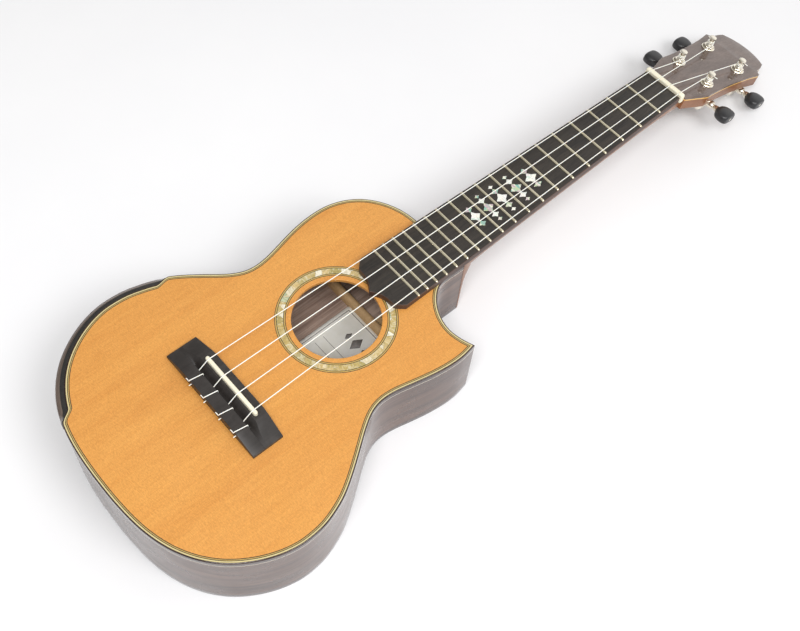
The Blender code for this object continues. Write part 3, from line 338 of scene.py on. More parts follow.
def shell_group():
    """Cut shell: segments of several tints, each crossed by its own growth lines, with fine dark joints, and pale
    chips, pale wave lines and teal spots that are partly the shell's own colours and partly painted glints.
    """
    group, given, made = new_group(
        "Cut shell",
        {
            "Patch Size": 0.006, "Base": (0.8, 0.8, 0.65), "Second": (0.4, 0.6, 0.4), "Third": (0.7, 0.45, 0.5),
            "Glint": 0.5,
        },
        ("Color", "Height"),
    )
    put = given.outputs
    spread = stretched(group, put["Vector"], maths(group, "MULTIPLY", put["Patch Size"], 1.8), put["Patch Size"])
    cells = group.nodes.new("ShaderNodeTexVoronoi")
    joints = group.nodes.new("ShaderNodeTexVoronoi")
    joints.feature = "DISTANCE_TO_EDGE"
    for node in (cells, joints):
        join(group, spread, node.inputs["Vector"])
        node.inputs["Scale"].default_value = 1.0
        node.inputs["Randomness"].default_value = 0.9
    tone = group.nodes.new("ShaderNodeSeparateColor")
    join(group, cells.outputs["Color"], tone.inputs[0])
    turned_by = group.nodes.new("ShaderNodeVectorMath")
    turned_by.operation = "MULTIPLY_ADD"
    join(group, cells.outputs["Color"], turned_by.inputs[0])
    turned_by.inputs[1].default_value = (7.0, 7.0, 7.0)
    join(group, spread, turned_by.inputs[2])
    waves = noise(group, turned_by.outputs[0], 1.5, 4.0, 0.6, 2.0)
    second = maths(group, "MULTIPLY", ranged(group, tone.outputs[0], 0.4, 0.6), put["Glint"])
    third = maths(group, "MULTIPLY", ranged(group, tone.outputs[1], 0.5, 0.7), put["Glint"])
    colour = mixed(group, second, put["Base"], put["Second"])
    colour = mixed(group, third, colour, put["Third"])
    # Pale chips, pale wave lines and teal spots: partly the shell's own nacre, partly painted glints of its sheen.
    for source, low, high, most, over in (
        (tone.outputs[2], 0.64, 0.84, 0.7, (0.9, 0.87, 0.74)), (tone.outputs[2], 0.08, 0.04, 0.5, (0.3, 0.52, 0.4)),
        (waves, 0.48, 0.72, 0.45, (0.95, 0.93, 0.8)), (waves, 0.46, 0.3, 0.6, (0.26, 0.2, 0.08)),
        (joints.outputs["Distance"], 0.03, 0.0, 0.4, (0.2, 0.16, 0.08)),
    ):
        colour = mixed(group, ranged(group, source, low, high, 0.0, most), colour, over)
    join(group, colour, made.inputs["Color"])
    join(group, waves, made.inputs["Height"])
    return group


GROUP_MAKERS = {
    "grain": grain_group, "pores": pore_group, "smudges": smudge_group, "wear": wear_group, "shell": shell_group,
    "flecks": fleck_group,
}
GROUPS = {}


def group_named(name):
    if name not in GROUPS:
        GROUPS[name] = GROUP_MAKERS[name]()
    return GROUPS[name]


def placed(tree, name, vector, **values):
    """A shader group in a material, with its values; underscores stand for spaces in a socket's name."""
    node = tree.nodes.new("ShaderNodeGroup")
    node.node_tree = group_named(name)
    join(tree, vector, node.inputs["Vector"])
    for key, value in values.items():
        feed(tree, node.inputs[key.replace("_", " ").title()], value)
    return node


def new_finish(name):
    """A material with an empty Principled BSDF, and the object coordinates that its textures read."""
    made = bpy.data.materials.new(name)
    made.use_nodes = True
    tree = made.node_tree
    coords = tree.nodes.new("ShaderNodeTexCoord")
    return made, tree, tree.nodes["Principled BSDF"], coords.outputs["Object"]


def grain_map(tree):
    node = tree.nodes.new("ShaderNodeUVMap")
    node.uv_map = "grain"
    return node.outputs["UV"]


def bumped(tree, shader, height, strength, distance):
    bump = tree.nodes.new("ShaderNodeBump")
    for label, value in (("Strength", strength), ("Distance", distance), ("Height", height)):
        feed(tree, bump.inputs[label], value)
    join(tree, bump.outputs["Normal"], shader.inputs["Normal"])


def worn(tree, vector, colour, light, amount):
    """The colour, paler where edges are rubbed."""
    rubbed = placed(tree, "wear", vector, amount=amount)
    return mixed(tree, rubbed.outputs["Mask"], colour, tuple(min(1.0, 2.6 * c + 0.05) for c in light))


def surfaced(tree, shader, vector, colour, size, rough, coat=0.0, coat_rough=0.0, metallic=0.0):
    """The colour, a roughness that handling has changed, and the clear coat."""
    marks = placed(tree, "smudges", vector, size=size, least=rough[0], most=rough[1])
    for label, value in (
        ("Base Color", colour), ("Roughness", marks.outputs["Roughness"]), ("Coat Weight", coat),
        ("Coat Roughness", coat_rough), ("Metallic", metallic),
    ):
        feed(tree, shader.inputs[label], value)


def wood(
    name, light, dark, line=0.001, band=0.012, stretch=40.0, lines=0.5, bands=0.5, pores=0.0, coat=0.0,
    rough=(0.35, 0.5), along_map=False, mirrored=False, wear=0.0, relief=0.15, flecks=0.0,
):
    """Wood whose grain follows Y, or the grain map of a bent piece."""
    made, tree, shader, vector = new_finish(name)
    if along_map:
        vector = grain_map(tree)
    if mirrored:
        vector = per_axis(tree, vector, lambda axis, part: part if axis else maths(tree, "ABSOLUTE", part))
    grain = placed(
        tree, "grain", vector, light=light, dark=dark, line_size=line, band_size=band, stretch=stretch,
        lines=lines, bands=bands,
    )
    colour = grain.outputs["Color"]
    height = grain.outputs["Height"]
    if pores:
        holes = placed(tree, "pores", vector, width=0.00028, length=0.0045, share=pores)
        depth = maths(tree, "MULTIPLY", holes.outputs["Mask"], 0.75)
        colour = mixed(tree, depth, colour, tuple(0.25 * c for c in dark))
        height = maths(tree, "SUBTRACT", maths(tree, "MULTIPLY", height, 0.3), holes.outputs["Mask"])
    if flecks:
        silk = placed(tree, "flecks", vector, size=0.0006, amount=flecks)
        shade = maths(tree, "ADD", silk.outputs["Factor"], 0.5, clamp=True)
        colour = mixed(tree, 1.0, colour, mixed(tree, shade, (0.62, 0.6, 0.56), (1.0, 1.0, 1.0)), "MULTIPLY")
        height = maths(tree, "ADD", height, maths(tree, "MULTIPLY", silk.outputs["Factor"], 0.5))
    if wear:
        colour = worn(tree, vector, colour, light, wear)
    surfaced(tree, shader, vector, colour, 0.03, rough, coat, 0.04)
    bumped(tree, shader, height, relief, 0.0001)
    shader.inputs["Specular IOR Level"].default_value = 0.5 - 0.4 * coat
    return made


def metal(name, colour, rough):
    made, tree, shader, vector = new_finish(name)
    surfaced(tree, shader, vector, colour, 0.004, rough, metallic=1.0)
    fine = noise(tree, stretched(tree, vector, 0.00012, 0.0016), 1.0, 2.0)
    bumped(tree, shader, fine, 0.06, 0.00002)
    return made


def shell(name, base, second, third, patch, glint, along_map=False):
    made, tree, shader, vector = new_finish(name)
    if along_map:
        vector = grain_map(tree)
    cut = placed(tree, "shell", vector, patch_size=patch, base=base, second=second, third=third, glint=glint)
    surfaced(tree, shader, vector, cut.outputs["Color"], 0.002, (0.12, 0.35), 0.8, 0.05)
    shader.inputs["Specular IOR Level"].default_value = 0.8
    bumped(tree, shader, cut.outputs["Height"], 0.08, 0.0001)
    return made


def plain(name, colour, other, rough, size=0.004, coat=0.0, relief=0.08, through=0.0, wear=0.0):
    """A moulded, cut or printed material with slight clouds of colour."""
    made, tree, shader, vector = new_finish(name)
    clouds = noise(tree, stretched(tree, vector, size, size), 1.0, 4.0, 0.6)
    mottled = mixed(tree, ranged(tree, clouds, 0.35, 0.65), colour, other)
    if wear:
        mottled = worn(tree, vector, mottled, colour, wear)
    surfaced(tree, shader, vector, mottled, size, rough, coat, 0.06)
    if through:
        shader.inputs["Subsurface Weight"].default_value = through
        shader.inputs["Subsurface Radius"].default_value = (0.001, 0.0008, 0.0006)
        shader.inputs["Subsurface Scale"].default_value = 1.0
    grit = noise(tree, stretched(tree, vector, 0.0002, 0.0002), 1.0, 3.0)
    bumped(tree, shader, grit, relief, 0.00005)
    return made


FINISH = {}


def recipes():
    """Each finish's maker, colours and settings, by its name."""
    paint = bpy.context.scene.ukulele_finishes
    top = (tuple(paint.top_light), tuple(paint.top_dark))
    side = (tuple(paint.side_light), tuple(paint.side_dark))
    neck = (tuple(paint.neck_light), tuple(paint.neck_dark))
    black = tuple(paint.black_wood)
    bone = tuple(paint.bone)
    gloss = paint.gloss
    rose = dict(line=0.0013, band=0.009, stretch=38.0, lines=0.42, bands=0.62, pores=0.35, relief=0.06)
    bare = dict(rough=(0.6, 0.75))
    thin = dict(
        coat=0.6, rough=(0.3, 0.4), line=0.0004, band=0.003, stretch=14.0, lines=0.2, bands=0.3, along_map=True,
    )
    return {
        "soundboard wood": (wood, top, dict(
            line=0.0007, band=0.017, stretch=34.0, lines=0.3, bands=0.28, coat=0.4 * gloss, rough=(0.32, 0.46),
            relief=0.1, flecks=1.4,
        )),
        "side wood": (wood, side, dict(coat=0.5 * gloss, rough=(0.25, 0.35), along_map=True, **rose)),
        "back wood": (wood, side, dict(coat=gloss, rough=(0.25, 0.35), mirrored=True, **rose)),
        # Inside of the back and sides: paler as bare rosewood, and lightened well past that as painted light, for the
        # lit interior seen through the sound hole.
        "bare back wood": (wood, ((0.56, 0.42, 0.34), (0.2, 0.13, 0.1)), dict(rough=(0.55, 0.7), **rose)),
        "headplate wood": (wood, ((0.175, 0.125, 0.104), (0.08, 0.054, 0.045)), dict(
            coat=gloss, rough=(0.25, 0.4), line=0.0011, band=0.007, stretch=34.0, lines=0.35, bands=0.5, pores=0.3,
        )),
        "binding wood": (wood, ((0.06, 0.03, 0.024), (0.02, 0.01, 0.008)), dict(
            coat=gloss, rough=(0.25, 0.35), along_map=True, line=0.0008, band=0.004, stretch=30.0, lines=0.4,
            bands=0.4, pores=0.2,
        )),
        "neck wood": (wood, neck, dict(
            coat=0.35 * gloss, rough=(0.3, 0.45), line=0.0009, band=0.011, stretch=32.0, lines=0.4, bands=0.4,
            pores=0.3,
        )),
        "brace wood": (wood, ((0.72, 0.5, 0.27), (0.5, 0.3, 0.13)), dict(
            line=0.001, band=0.006, lines=0.3, bands=0.2, **bare,
        )),
        "bare neck wood": (wood, (tuple(1.2 * c for c in neck[0]), neck[1]), dict(lines=0.4, bands=0.4, **bare)),
        "fretboard wood": (wood, ((0.038, 0.03, 0.023), (0.012, 0.01, 0.0085)), dict(
            rough=(0.34, 0.48), line=0.0007, band=0.005, stretch=26.0, lines=0.5, bands=0.6, pores=0.5, wear=0.25,
            relief=0.35,
        )),
        "board edge wood": (wood, ((0.105, 0.055, 0.038), (0.04, 0.022, 0.017)), dict(
            rough=(0.4, 0.5), line=0.0008, band=0.005, stretch=26.0, lines=0.4, bands=0.5, pores=0.3,
        )),
        "bridge wood": (wood, (tuple(1.3 * c for c in black), tuple(0.7 * c for c in black)), dict(
            rough=(0.36, 0.46), line=0.0007, band=0.004, lines=0.4, bands=0.4, wear=0.3, relief=0.12,
        )),
        # Arm rest: the dark wood is given a grey-brown as painted sheen, the reflection that its lacquered bevel shows
        # of the pale room.
        "arm rest wood": (wood, ((0.2, 0.15, 0.12), (0.07, 0.05, 0.04)), dict(
            coat=gloss, rough=(0.2, 0.3), line=0.0012, band=0.005, stretch=30.0, lines=0.45, bands=0.6, along_map=True,
        )),
        "tan line": (wood, ((0.52, 0.36, 0.11), (0.38, 0.25, 0.07)), thin),
        "straw line": (wood, ((0.68, 0.58, 0.3), (0.52, 0.42, 0.19)), thin),
        "black line": (plain, ((0.012, 0.011, 0.01), (0.02, 0.018, 0.016)), dict(rough=(0.25, 0.35), coat=0.6)),
        "light line": (plain, ((0.72, 0.66, 0.52), (0.6, 0.52, 0.38)), dict(rough=(0.3, 0.4), coat=0.6)),
        "veneer line": (plain, ((0.86, 0.52, 0.14), (0.72, 0.4, 0.09)), dict(rough=(0.3, 0.4), coat=0.6)),
        "ring shell": (shell, ((0.47, 0.34, 0.1), (0.36, 0.29, 0.08), (0.56, 0.41, 0.16)), dict(
            patch=0.006, glint=0.9, along_map=True,
        )),
        "white shell": (shell, ((0.82, 0.83, 0.8), (0.72, 0.8, 0.74), (0.86, 0.75, 0.78)), dict(
            patch=0.0022, glint=0.6,
        )),
        "green shell": (shell, ((0.42, 0.52, 0.3), (0.16, 0.42, 0.36), (0.5, 0.36, 0.42)), dict(
            patch=0.0018, glint=0.95,
        )),
        "bone": (plain, (bone, tuple(0.9 * c for c in bone)), dict(
            rough=(0.25, 0.4), size=0.006, through=0.12, relief=0.05,
        )),
        "fret metal": (metal, ((0.84, 0.77, 0.58),), dict(rough=(0.16, 0.32))),
        "tuner metal": (metal, ((0.86, 0.81, 0.7),), dict(rough=(0.1, 0.2))),
        "screw metal": (metal, ((0.7, 0.67, 0.6),), dict(rough=(0.22, 0.38))),
        "button plastic": (plain, ((0.016, 0.016, 0.018), (0.026, 0.026, 0.028)), dict(
            rough=(0.28, 0.42), wear=0.15, relief=0.05,
        )),
        "string nylon": (plain, ((0.93, 0.92, 0.85), (0.88, 0.86, 0.78)), dict(
            rough=(0.2, 0.3), size=0.01, through=0.2, relief=0.02,
        )),
        "label paper": (plain, ((0.88, 0.87, 0.82), (0.8, 0.78, 0.7)), dict(rough=(0.7, 0.85), size=0.02)),
        "label ink": (plain, ((0.2, 0.19, 0.18), (0.3, 0.28, 0.26)), dict(rough=(0.6, 0.7))),
        "floor cloth": (plain, ((0.86, 0.86, 0.87), (0.83, 0.83, 0.845)), dict(
            rough=(0.8, 0.9), size=0.3, relief=0.1,
        )),
    }


def finish_named(name):
    """The material of that name, made when first asked for."""
    if name not in FINISH:
        maker, colours, settings = recipes()[name]
        FINISH[name] = maker(name.replace(" ", "_"), *colours, **settings)
    return FINISH[name]


# Mesh building
class Surface:
    """Collects points, faces, their finish numbers and, for bent wood, where each point lies on the grain."""

    def __init__(self):
        self.points = []
        self.faces = []
        self.finishes = []
        self.grain = []

    def add(self, points, grain=None):
        start = len(self.points)
        self.points += [tuple(p) for p in points]
        self.grain += list(grain) if grain is not None else [(0.0, 0.0)] * len(points)
        return list(range(start, start + len(points)))

    def face(self, corners, finish=0):
        self.faces.append(tuple(corners))
        self.finishes.append(finish)

    def loft(self, stations, finishes=0, closed=False, caps=True, grain=None):
        """Faces over equal-length sections; finishes is one number or one for each column."""
        rows = [self.add(s, None if grain is None else grain[i]) for i, s in enumerate(stations)]
        count = len(stations[0])
        if isinstance(finishes, int):
            finishes = [finishes] * count
        for i in range(len(rows) if closed else len(rows) - 1):
            here, there = rows[i], rows[(i + 1) % len(rows)]
            for j in range(count):
                k = (j + 1) % count
                self.face((here[j], here[k], there[k], there[j]), finishes[j])
        if caps and not closed:
            self.face(rows[0], finishes[0])
            self.face(rows[-1], finishes[0])

    def sheet(self, loops, height, finish=0):
        """A flat face with holes; height is a number or gives one at each y."""
        flat = [p for loop in loops for p in loop]
        index = self.add([(x, y, height_at(height, y)) for x, y in flat])
        for a, b, c in tessellate_polygon([[Vector((x, y, 0.0)) for x, y in loop] for loop in loops]):
            self.face((index[a], index[b], index[c]), finish)


def make(name, surface, finishes, place=PLAY, body="body", stands_for=(), smooth=38.0, keep=False):
    """A piece from a surface: welded, facing out, smooth but for edges sharper than the angle, and riding on a body."""
    mesh = bpy.data.meshes.new(name)
    mesh.from_pydata([place @ (Vector(p) * MM) for p in surface.points], [], surface.faces)
    mesh.polygons.foreach_set("material_index", surface.finishes)
    if any(g != (0.0, 0.0) for g in surface.grain):
        layer = mesh.uv_layers.new(name="grain")
        for loop in mesh.loops:
            across, along = surface.grain[loop.vertex_index]
            layer.data[loop.index].uv = (across * MM, along * MM)
    work = bmesh.new()
    work.from_mesh(mesh)
    bmesh.ops.remove_doubles(work, verts=work.verts, dist=2e-6)
    bmesh.ops.dissolve_degenerate(work, edges=work.edges, dist=1e-7)
    bmesh.ops.recalc_face_normals(work, faces=work.faces)
    work.to_mesh(mesh)
    work.free()
    for finish in finishes:
        mesh.materials.append(finish_named(finish))
    mesh.polygons.foreach_set("use_smooth", [True] * len(mesh.polygons))
    mesh.set_sharp_from_angle(angle=math.radians(smooth))
    made = bpy.data.objects.new(name, mesh)
    bpy.context.scene.collection.objects.link(made)
    if keep:
        return made
    return seated(made, body, stands_for)


def seated(made, body="body", stands_for=()):
    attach(made, body)
    if stands_for:
        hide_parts(*stands_for)
    return made


def combined(target, others, operation, smooth=38.0):
    """Joins or cuts with exact Booleans and keeps the result as the target's own mesh."""
    for other in others:
        step = target.modifiers.new(operation.lower(), "BOOLEAN")
        step.operation = operation
        step.solver = "EXACT"
        step.object = other
    graph = bpy.context.evaluated_depsgraph_get()
    mesh = bpy.data.meshes.new_from_object(target.evaluated_get(graph), depsgraph=graph)
    target.modifiers.clear()
    target.data = mesh
    mesh.set_sharp_from_angle(angle=math.radians(smooth))
    for other in others:
        bpy.data.objects.remove(other, do_unlink=True)
    return target


def soften(made, width):
    """Rounds the sharp edges by a width in millimetres."""
    step = made.modifiers.new("rounded edges", "BEVEL")
    step.width = width * MM
    step.segments = 2
    step.limit_method = "ANGLE"
    step.angle_limit = math.radians(40.0)


def circle(x, y, radius, count):
    turn = 2 * math.pi / count
    return [(x + radius * math.cos(i * turn), y + radius * math.sin(i * turn)) for i in range(count)]


def rings(rows):
    """Sections for a loft, from (flat loop, height or function of y) rows."""
    return [[(x, y, height_at(height, y)) for x, y in loop] for loop, height in rows]


def smooth_curve(points, steps=24):
    """Centripetal Catmull-Rom through rows of numbers, as dense rows."""
    rows = [np.array(p, float) for p in points]
    rows = [2 * rows[0] - rows[1], *rows, 2 * rows[-1] - rows[-2]]
    out = []
    for i in range(1, len(rows) - 2):
        quad = rows[i - 1:i + 3]
        knots = [0.0]
        for a, b in zip(quad, quad[1:]):
            knots.append(knots[-1] + max(np.linalg.norm(b - a), 1e-6) ** 0.5)
        for t in np.linspace(knots[1], knots[2], steps, endpoint=False):
            line = quad
            for depth in (1, 2, 3):
                line = [
                    ((knots[j + depth] - t) * line[j] + (t - knots[j]) * line[j + 1]) / (knots[j + depth] - knots[j])
                    for j in range(4 - depth)
                ]
            out.append(line[0])
    out.append(rows[-2])
    return np.array(out)


def resampled(line, step):
    """The line at even steps, and the distance along it of each point."""
    run = np.concatenate([[0.0], np.cumsum(np.linalg.norm(np.diff(line, axis=0), axis=1))])
    stops = np.linspace(0.0, run[-1], max(2, round(run[-1] / step)) + 1)
    return np.stack([np.interp(stops, run, line[:, k]) for k in range(line.shape[1])], axis=1), stops


def inward(points):
    """Inward directions of a closed loop that runs anticlockwise, lengthened at corners."""
    points = np.array(points, float)
    before = points - np.roll(points, 1, axis=0)
    after = np.roll(points, -1, axis=0) - points
    before /= np.linalg.norm(before, axis=1)[:, None]
    after /= np.linalg.norm(after, axis=1)[:, None]
    left = np.stack([-before[:, 1], before[:, 0]], axis=1)
    right = np.stack([-after[:, 1], after[:, 0]], axis=1)
    middle = left + right
    middle /= np.linalg.norm(middle, axis=1)[:, None]
    return middle / (middle * left).sum(axis=1)[:, None]


def shrunk(loop, depth):
    """A loop moved inwards by a small depth."""
    return [tuple(p) for p in np.array(loop, float) + inward(loop) * depth]


# The outline of the soundbox
LOWER_BOUT = [
    (92.9, -399.3), (100.4, -410.9), (105.3, -420.2), (108.9, -430.1), (111.5, -440.0), (112.5, -450.0),
    (112.3, -460.0), (110.2, -470.6), (106.1, -481.9), (100.1, -493.0), (91.6, -504.3), (79.3, -515.2),
    (62.9, -524.3), (42.8, -530.3), (21.1, -532.9),
]
BASS_SIDE = [
    (-CUT_X, JOIN_Y), (-33.0, JOIN_Y - 0.6), (-43.0, -244.5), (-54.5, -249.6), (-65.5, -257.8), (-74.2, -269.4),
    (-79.3, -283.8), (-80.3, -299.0), (-78.6, -315.3), (-75.0, -331.3), (-71.6, -345.2), (-70.2, -356.1),
    (-71.2, -365.7), (-76.1, -376.2), (-84.0, -387.2),
]
TREBLE_SIDE = [
    (84.0, -387.2), (76.6, -377.1), (71.1, -367.6), (68.6, -358.2), (69.2, -347.0), (72.2, -334.0),
    (75.7, -319.0), (78.0, -304.0), (78.3, -292.0), (76.6, -280.4),
]
CUTAWAY = [
    (76.6, -280.4), (67.0, -283.8), (57.0, -285.4), (47.5, -284.0), (38.8, -280.2), (31.2, -274.4),
    (CUT_X + 2.0, -267.6), (CUT_X, -260.5), (CUT_X, -251.0), (CUT_X, JOIN_Y),
]
STEP = 1.6
ARM_RAMP = 11.0
CORNER_REACH = 11.0
LEAN = 1.2
LEAN_Y = -402.0
LEAN_RUN = 25.0


def leaned(point):
    """The hand-bent sides lean a little towards the bass side above the bridge."""
    x, y = point
    return (x - LEAN * math.exp(-(((y - LEAN_Y) / LEAN_RUN) ** 2)), y)


class Outline:
    """The body's outline from the neck's bass side round the tail to the horn, and back along the cutaway."""

    def __init__(self, arm_inset):
        tail = [(-x, y) for x, y in LOWER_BOUT] + [(0.0, TAIL_Y)] + LOWER_BOUT[::-1]
        line = smooth_curve([leaned(point) for point in BASS_SIDE + tail + TREBLE_SIDE])
        around, run = resampled(line, STEP)
        cut, cut_run = resampled(smooth_curve(CUTAWAY), STEP)
        self.points = np.concatenate([around, cut[1:]])
        self.run = np.concatenate([run, run[-1] + cut_run[1:]])
        self.horn = len(around) - 1
        self.tail = int(np.argmin(np.linalg.norm(around - np.array([0.0, TAIL_Y]), axis=1)))
        self.normals = inward(self.points)
        self.points = self.points + self.normals * 0.08
        self.ease_corner(self.horn, CORNER_REACH)
        self.ease_corner(len(self.points) - 1, CORNER_REACH)
        self.arm_from = run[np.argmin(np.linalg.norm(around - np.array([-100.2, -410.5]), axis=1))]
        self.arm_to = run[np.argmin(np.linalg.norm(around - np.array([-48.7, -528.6]), axis=1))]
        self.inset = np.array([arm_inset * self.arm_share(s) for s in self.run])

    def ease_corner(self, corner, reach):
        """Leans the directions beside a corner towards its own, so that no offset loop folds over itself."""
        for side in (-1, 1):
            far = corner
            while 0 <= far + side < len(self.points) and abs(self.run[far] - self.run[corner]) < reach:
                far += side
            if far == corner:
                continue
            for i in range(corner + side, far, side):
                t = abs(self.run[i] - self.run[corner]) / abs(self.run[far] - self.run[corner])
                self.normals[i] = self.normals[corner] * (1 - t) + self.normals[far] * t

    def arm_share(self, run):
        """0 off the arm rest and 1 along it, with an eased ramp at each end."""
        return eased((run - self.arm_from) / ARM_RAMP) * eased((self.arm_to - run) / ARM_RAMP)

    def at(self, i, depth, follow=0.0):
        """Point i moved inwards; follow is how much of the arm rest's inset it takes."""
        return tuple(self.points[i] + self.normals[i] * (depth + follow * self.inset[i]))

    def loop(self, depth, follow=0.0):
        return [self.at(i, depth, follow) for i in range(len(self.points))]


def outline():
    return Outline(bpy.context.scene.ukulele_body.arm_inset / MM)


# Soundbox
RIM = 0.75
LINING = 8.0
LINING_CUT = 2.6
LINING_EVERY = 4
BY_TAIL_BLOCK = (37.0, 53.5)
BY_NECK_BLOCK = (29.5, 30.3)
ARM_LEAST = 0.8
ARM_SWELL = 26.0


def rounded_rim(high, radius, count=5):
    """(depth, height) points of a rounded top edge, from its flat to its wall."""
    return [
        (radius * (1 - math.sin(angle)), high - radius * (1 - math.cos(angle)))
        for angle in steps_of(math.pi / 2, count)
    ]


def grain_row(section, run):
    """Where a section's points lie on the grain: the way across the piece, and the way along it."""
    steps = [math.dist(a, b) for a, b in zip(section, section[1:])]
    return [(float(across), run) for across in np.cumsum([0.0, *steps])]


class BuildSoundboard(bpy.types.Operator):
    """The glued top plate, with its sound hole and the channel of the rosette"""

    bl_idname = "ukulele.soundboard"
    bl_label = "Soundboard"

    def execute(self, context):
        sizes = context.scene.ukulele_body
        edge = outline().loop(sizes.trim_width / MM, 1.0)
        ring_out = circle(0.0, HOLE_Y, sizes.rosette_out / MM, RING_COUNT)
        ring_in = circle(0.0, HOLE_Y, sizes.rosette_in / MM, RING_COUNT)
        hole = circle(0.0, HOLE_Y, HOLE_R, RING_COUNT)
        channel = TOP_Z - CHANNEL
        under = TOP_Z - PLATE
        top = Surface()
        top.sheet([edge, ring_out], TOP_Z)
        rows = [(ring_out, TOP_Z), (ring_out, channel), (ring_in, channel), (ring_in, TOP_Z)]
        rim = rounded_rim(TOP_Z, 0.5, 4)
        rows += [(circle(0.0, HOLE_Y, HOLE_R + depth, RING_COUNT), height) for depth, height in rim]
        top.loft(rings([*rows, (hole, under)]), caps=False)
        top.sheet([edge, hole], under, 1)
        top.loft(rings([(edge, TOP_Z), (edge, under)]), caps=False)
        make("soundboard_plate", top, ["soundboard wood", "brace wood"], stands_for=["soundboard"])
        return {"FINISHED"}


class BuildRosette(bpy.types.Operator):
    """The shell ring round the sound hole, with its lines"""

    bl_idname = "ukulele.rosette"
    bl_label = "Rosette"

    def execute(self, context):
        sizes = context.scene.ukulele_body
        near = sizes.rosette_in / MM
        far = sizes.rosette_out / MM
        lines = (0.0, 0.42, 1.32, 1.74)
        radii = [near + line for line in lines] + [far - line for line in lines[::-1]]
        section = [(r, TOP_Z + 0.01) for r in radii] + [(far, TOP_Z - CHANNEL), (near, TOP_Z - CHANNEL)]
        mean_width = 78.4
        ring = Surface()
        stations = []
        grain = []
        for i in range(RING_COUNT):
            angle = 2 * math.pi * i / RING_COUNT
            stations.append([(r * math.cos(angle), HOLE_Y + r * math.sin(angle), z) for r, z in section])
            grain.append([(r, mean_width * i / RING_COUNT * math.pi) for r, _ in section])
        ring.loft(stations, [0, 1, 0, 2, 0, 1, 0, 0, 0, 0], closed=True, grain=grain)
        make("rosette_ring", ring, ["black line", "tan line", "ring shell"], stands_for=["rosette"])
        return {"FINISHED"}


def swept_ring(line, section, finishes):
    """A closed ring along the outline; section holds (depth, height or function of y, share of the arm inset)."""
    surface = Surface()
    stations = []
    for i in range(len(line.points)):
        flat = [(*line.at(i, depth, follow), height) for depth, height, follow in section]
        stations.append([(x, y, height_at(height, y)) for x, y, height in flat])
    grain = [grain_row(station, run) for station, run in zip(stations, line.run)]
    surface.loft(stations, finishes, closed=True, grain=grain)
    return surface


class BuildTopTrim(bpy.types.Operator):
    """The lined strip round the soundboard and the binding that turns down over the side"""

    bl_idname = "ukulele.top_trim"
    bl_label = "Top trim and binding"

    def execute(self, context):
        sizes = context.scene.ukulele_body
        width = sizes.trim_width / MM
        foot = TOP_Z - sizes.binding_height / MM
        pale_foot = foot - sizes.light_line / MM
        under = TOP_Z - PLATE - 0.2
        section = [(width - line, TOP_Z, 1.0) for line in (0.0, 0.5, 1.1, 1.55, 2.45, 2.6)]
        section += [(depth, height, 1.0) for depth, height in rounded_rim(TOP_Z, RIM)]
        section += [
            (0.0, TOP_Z - 2.4, 1.0), (0.0, TOP_Z - 2.7, 0.0), (0.0, foot, 0.0), (0.0, pale_foot, 0.0),
            (LEDGE, pale_foot, 0.0), (LEDGE, under, 0.0), (width, under, 1.0),
        ]
        ring = swept_ring(outline(), section, [0, 1, 0, 4, 0] + [2] * 9 + [3, 3, 2, 2, 2])
        names = ["black line", "tan line", "binding wood", "light line", "straw line"]
        make("top_binding_lines", ring, names, stands_for=["top_binding"], smooth=50.0)
        return {"FINISHED"}


class BuildBack(bpy.types.Operator):
    """The two matched halves of the back, as one plate, with its binding"""

    bl_idname = "ukulele.back"
    bl_label = "Back and its binding"

    def execute(self, context):
        sizes = context.scene.ukulele_body
        tall = sizes.binding_height / MM
        pale = sizes.light_line / MM
        line = outline()
        width = 2.5
        edge = line.loop(width)
        inner = above_back(PLATE)
        plate = Surface()
        plate.sheet([edge], back_z, 0)
        plate.sheet([edge], inner, 1)
        plate.loft(rings([(edge, back_z), (edge, inner)]), caps=False)
        # The plate's inner face takes the bare back wood, lightened as painted light.
        make("back_plate", plate, ["back wood", "bare back wood"], stands_for=["back"])

        section = [(width, back_z, 0.0), (width - 0.5, back_z, 0.0)]
        section += [(depth, above_back(-height), 0.0) for depth, height in rounded_rim(0.0, RIM)]
        section += [
            (0.0, above_back(tall), 0.0), (0.0, above_back(tall + pale), 0.0), (LEDGE, above_back(tall + pale), 0.0),
            (LEDGE, inner, 0.0), (width, inner, 0.0),
        ]
        ring = swept_ring(line, section, [1] + [0] * 7 + [2, 2, 0, 0, 0])
        names = ["binding wood", "black line", "binding wood"]
        make("back_binding_strip", ring, names, stands_for=["back_binding"], smooth=50.0)
        return {"FINISHED"}


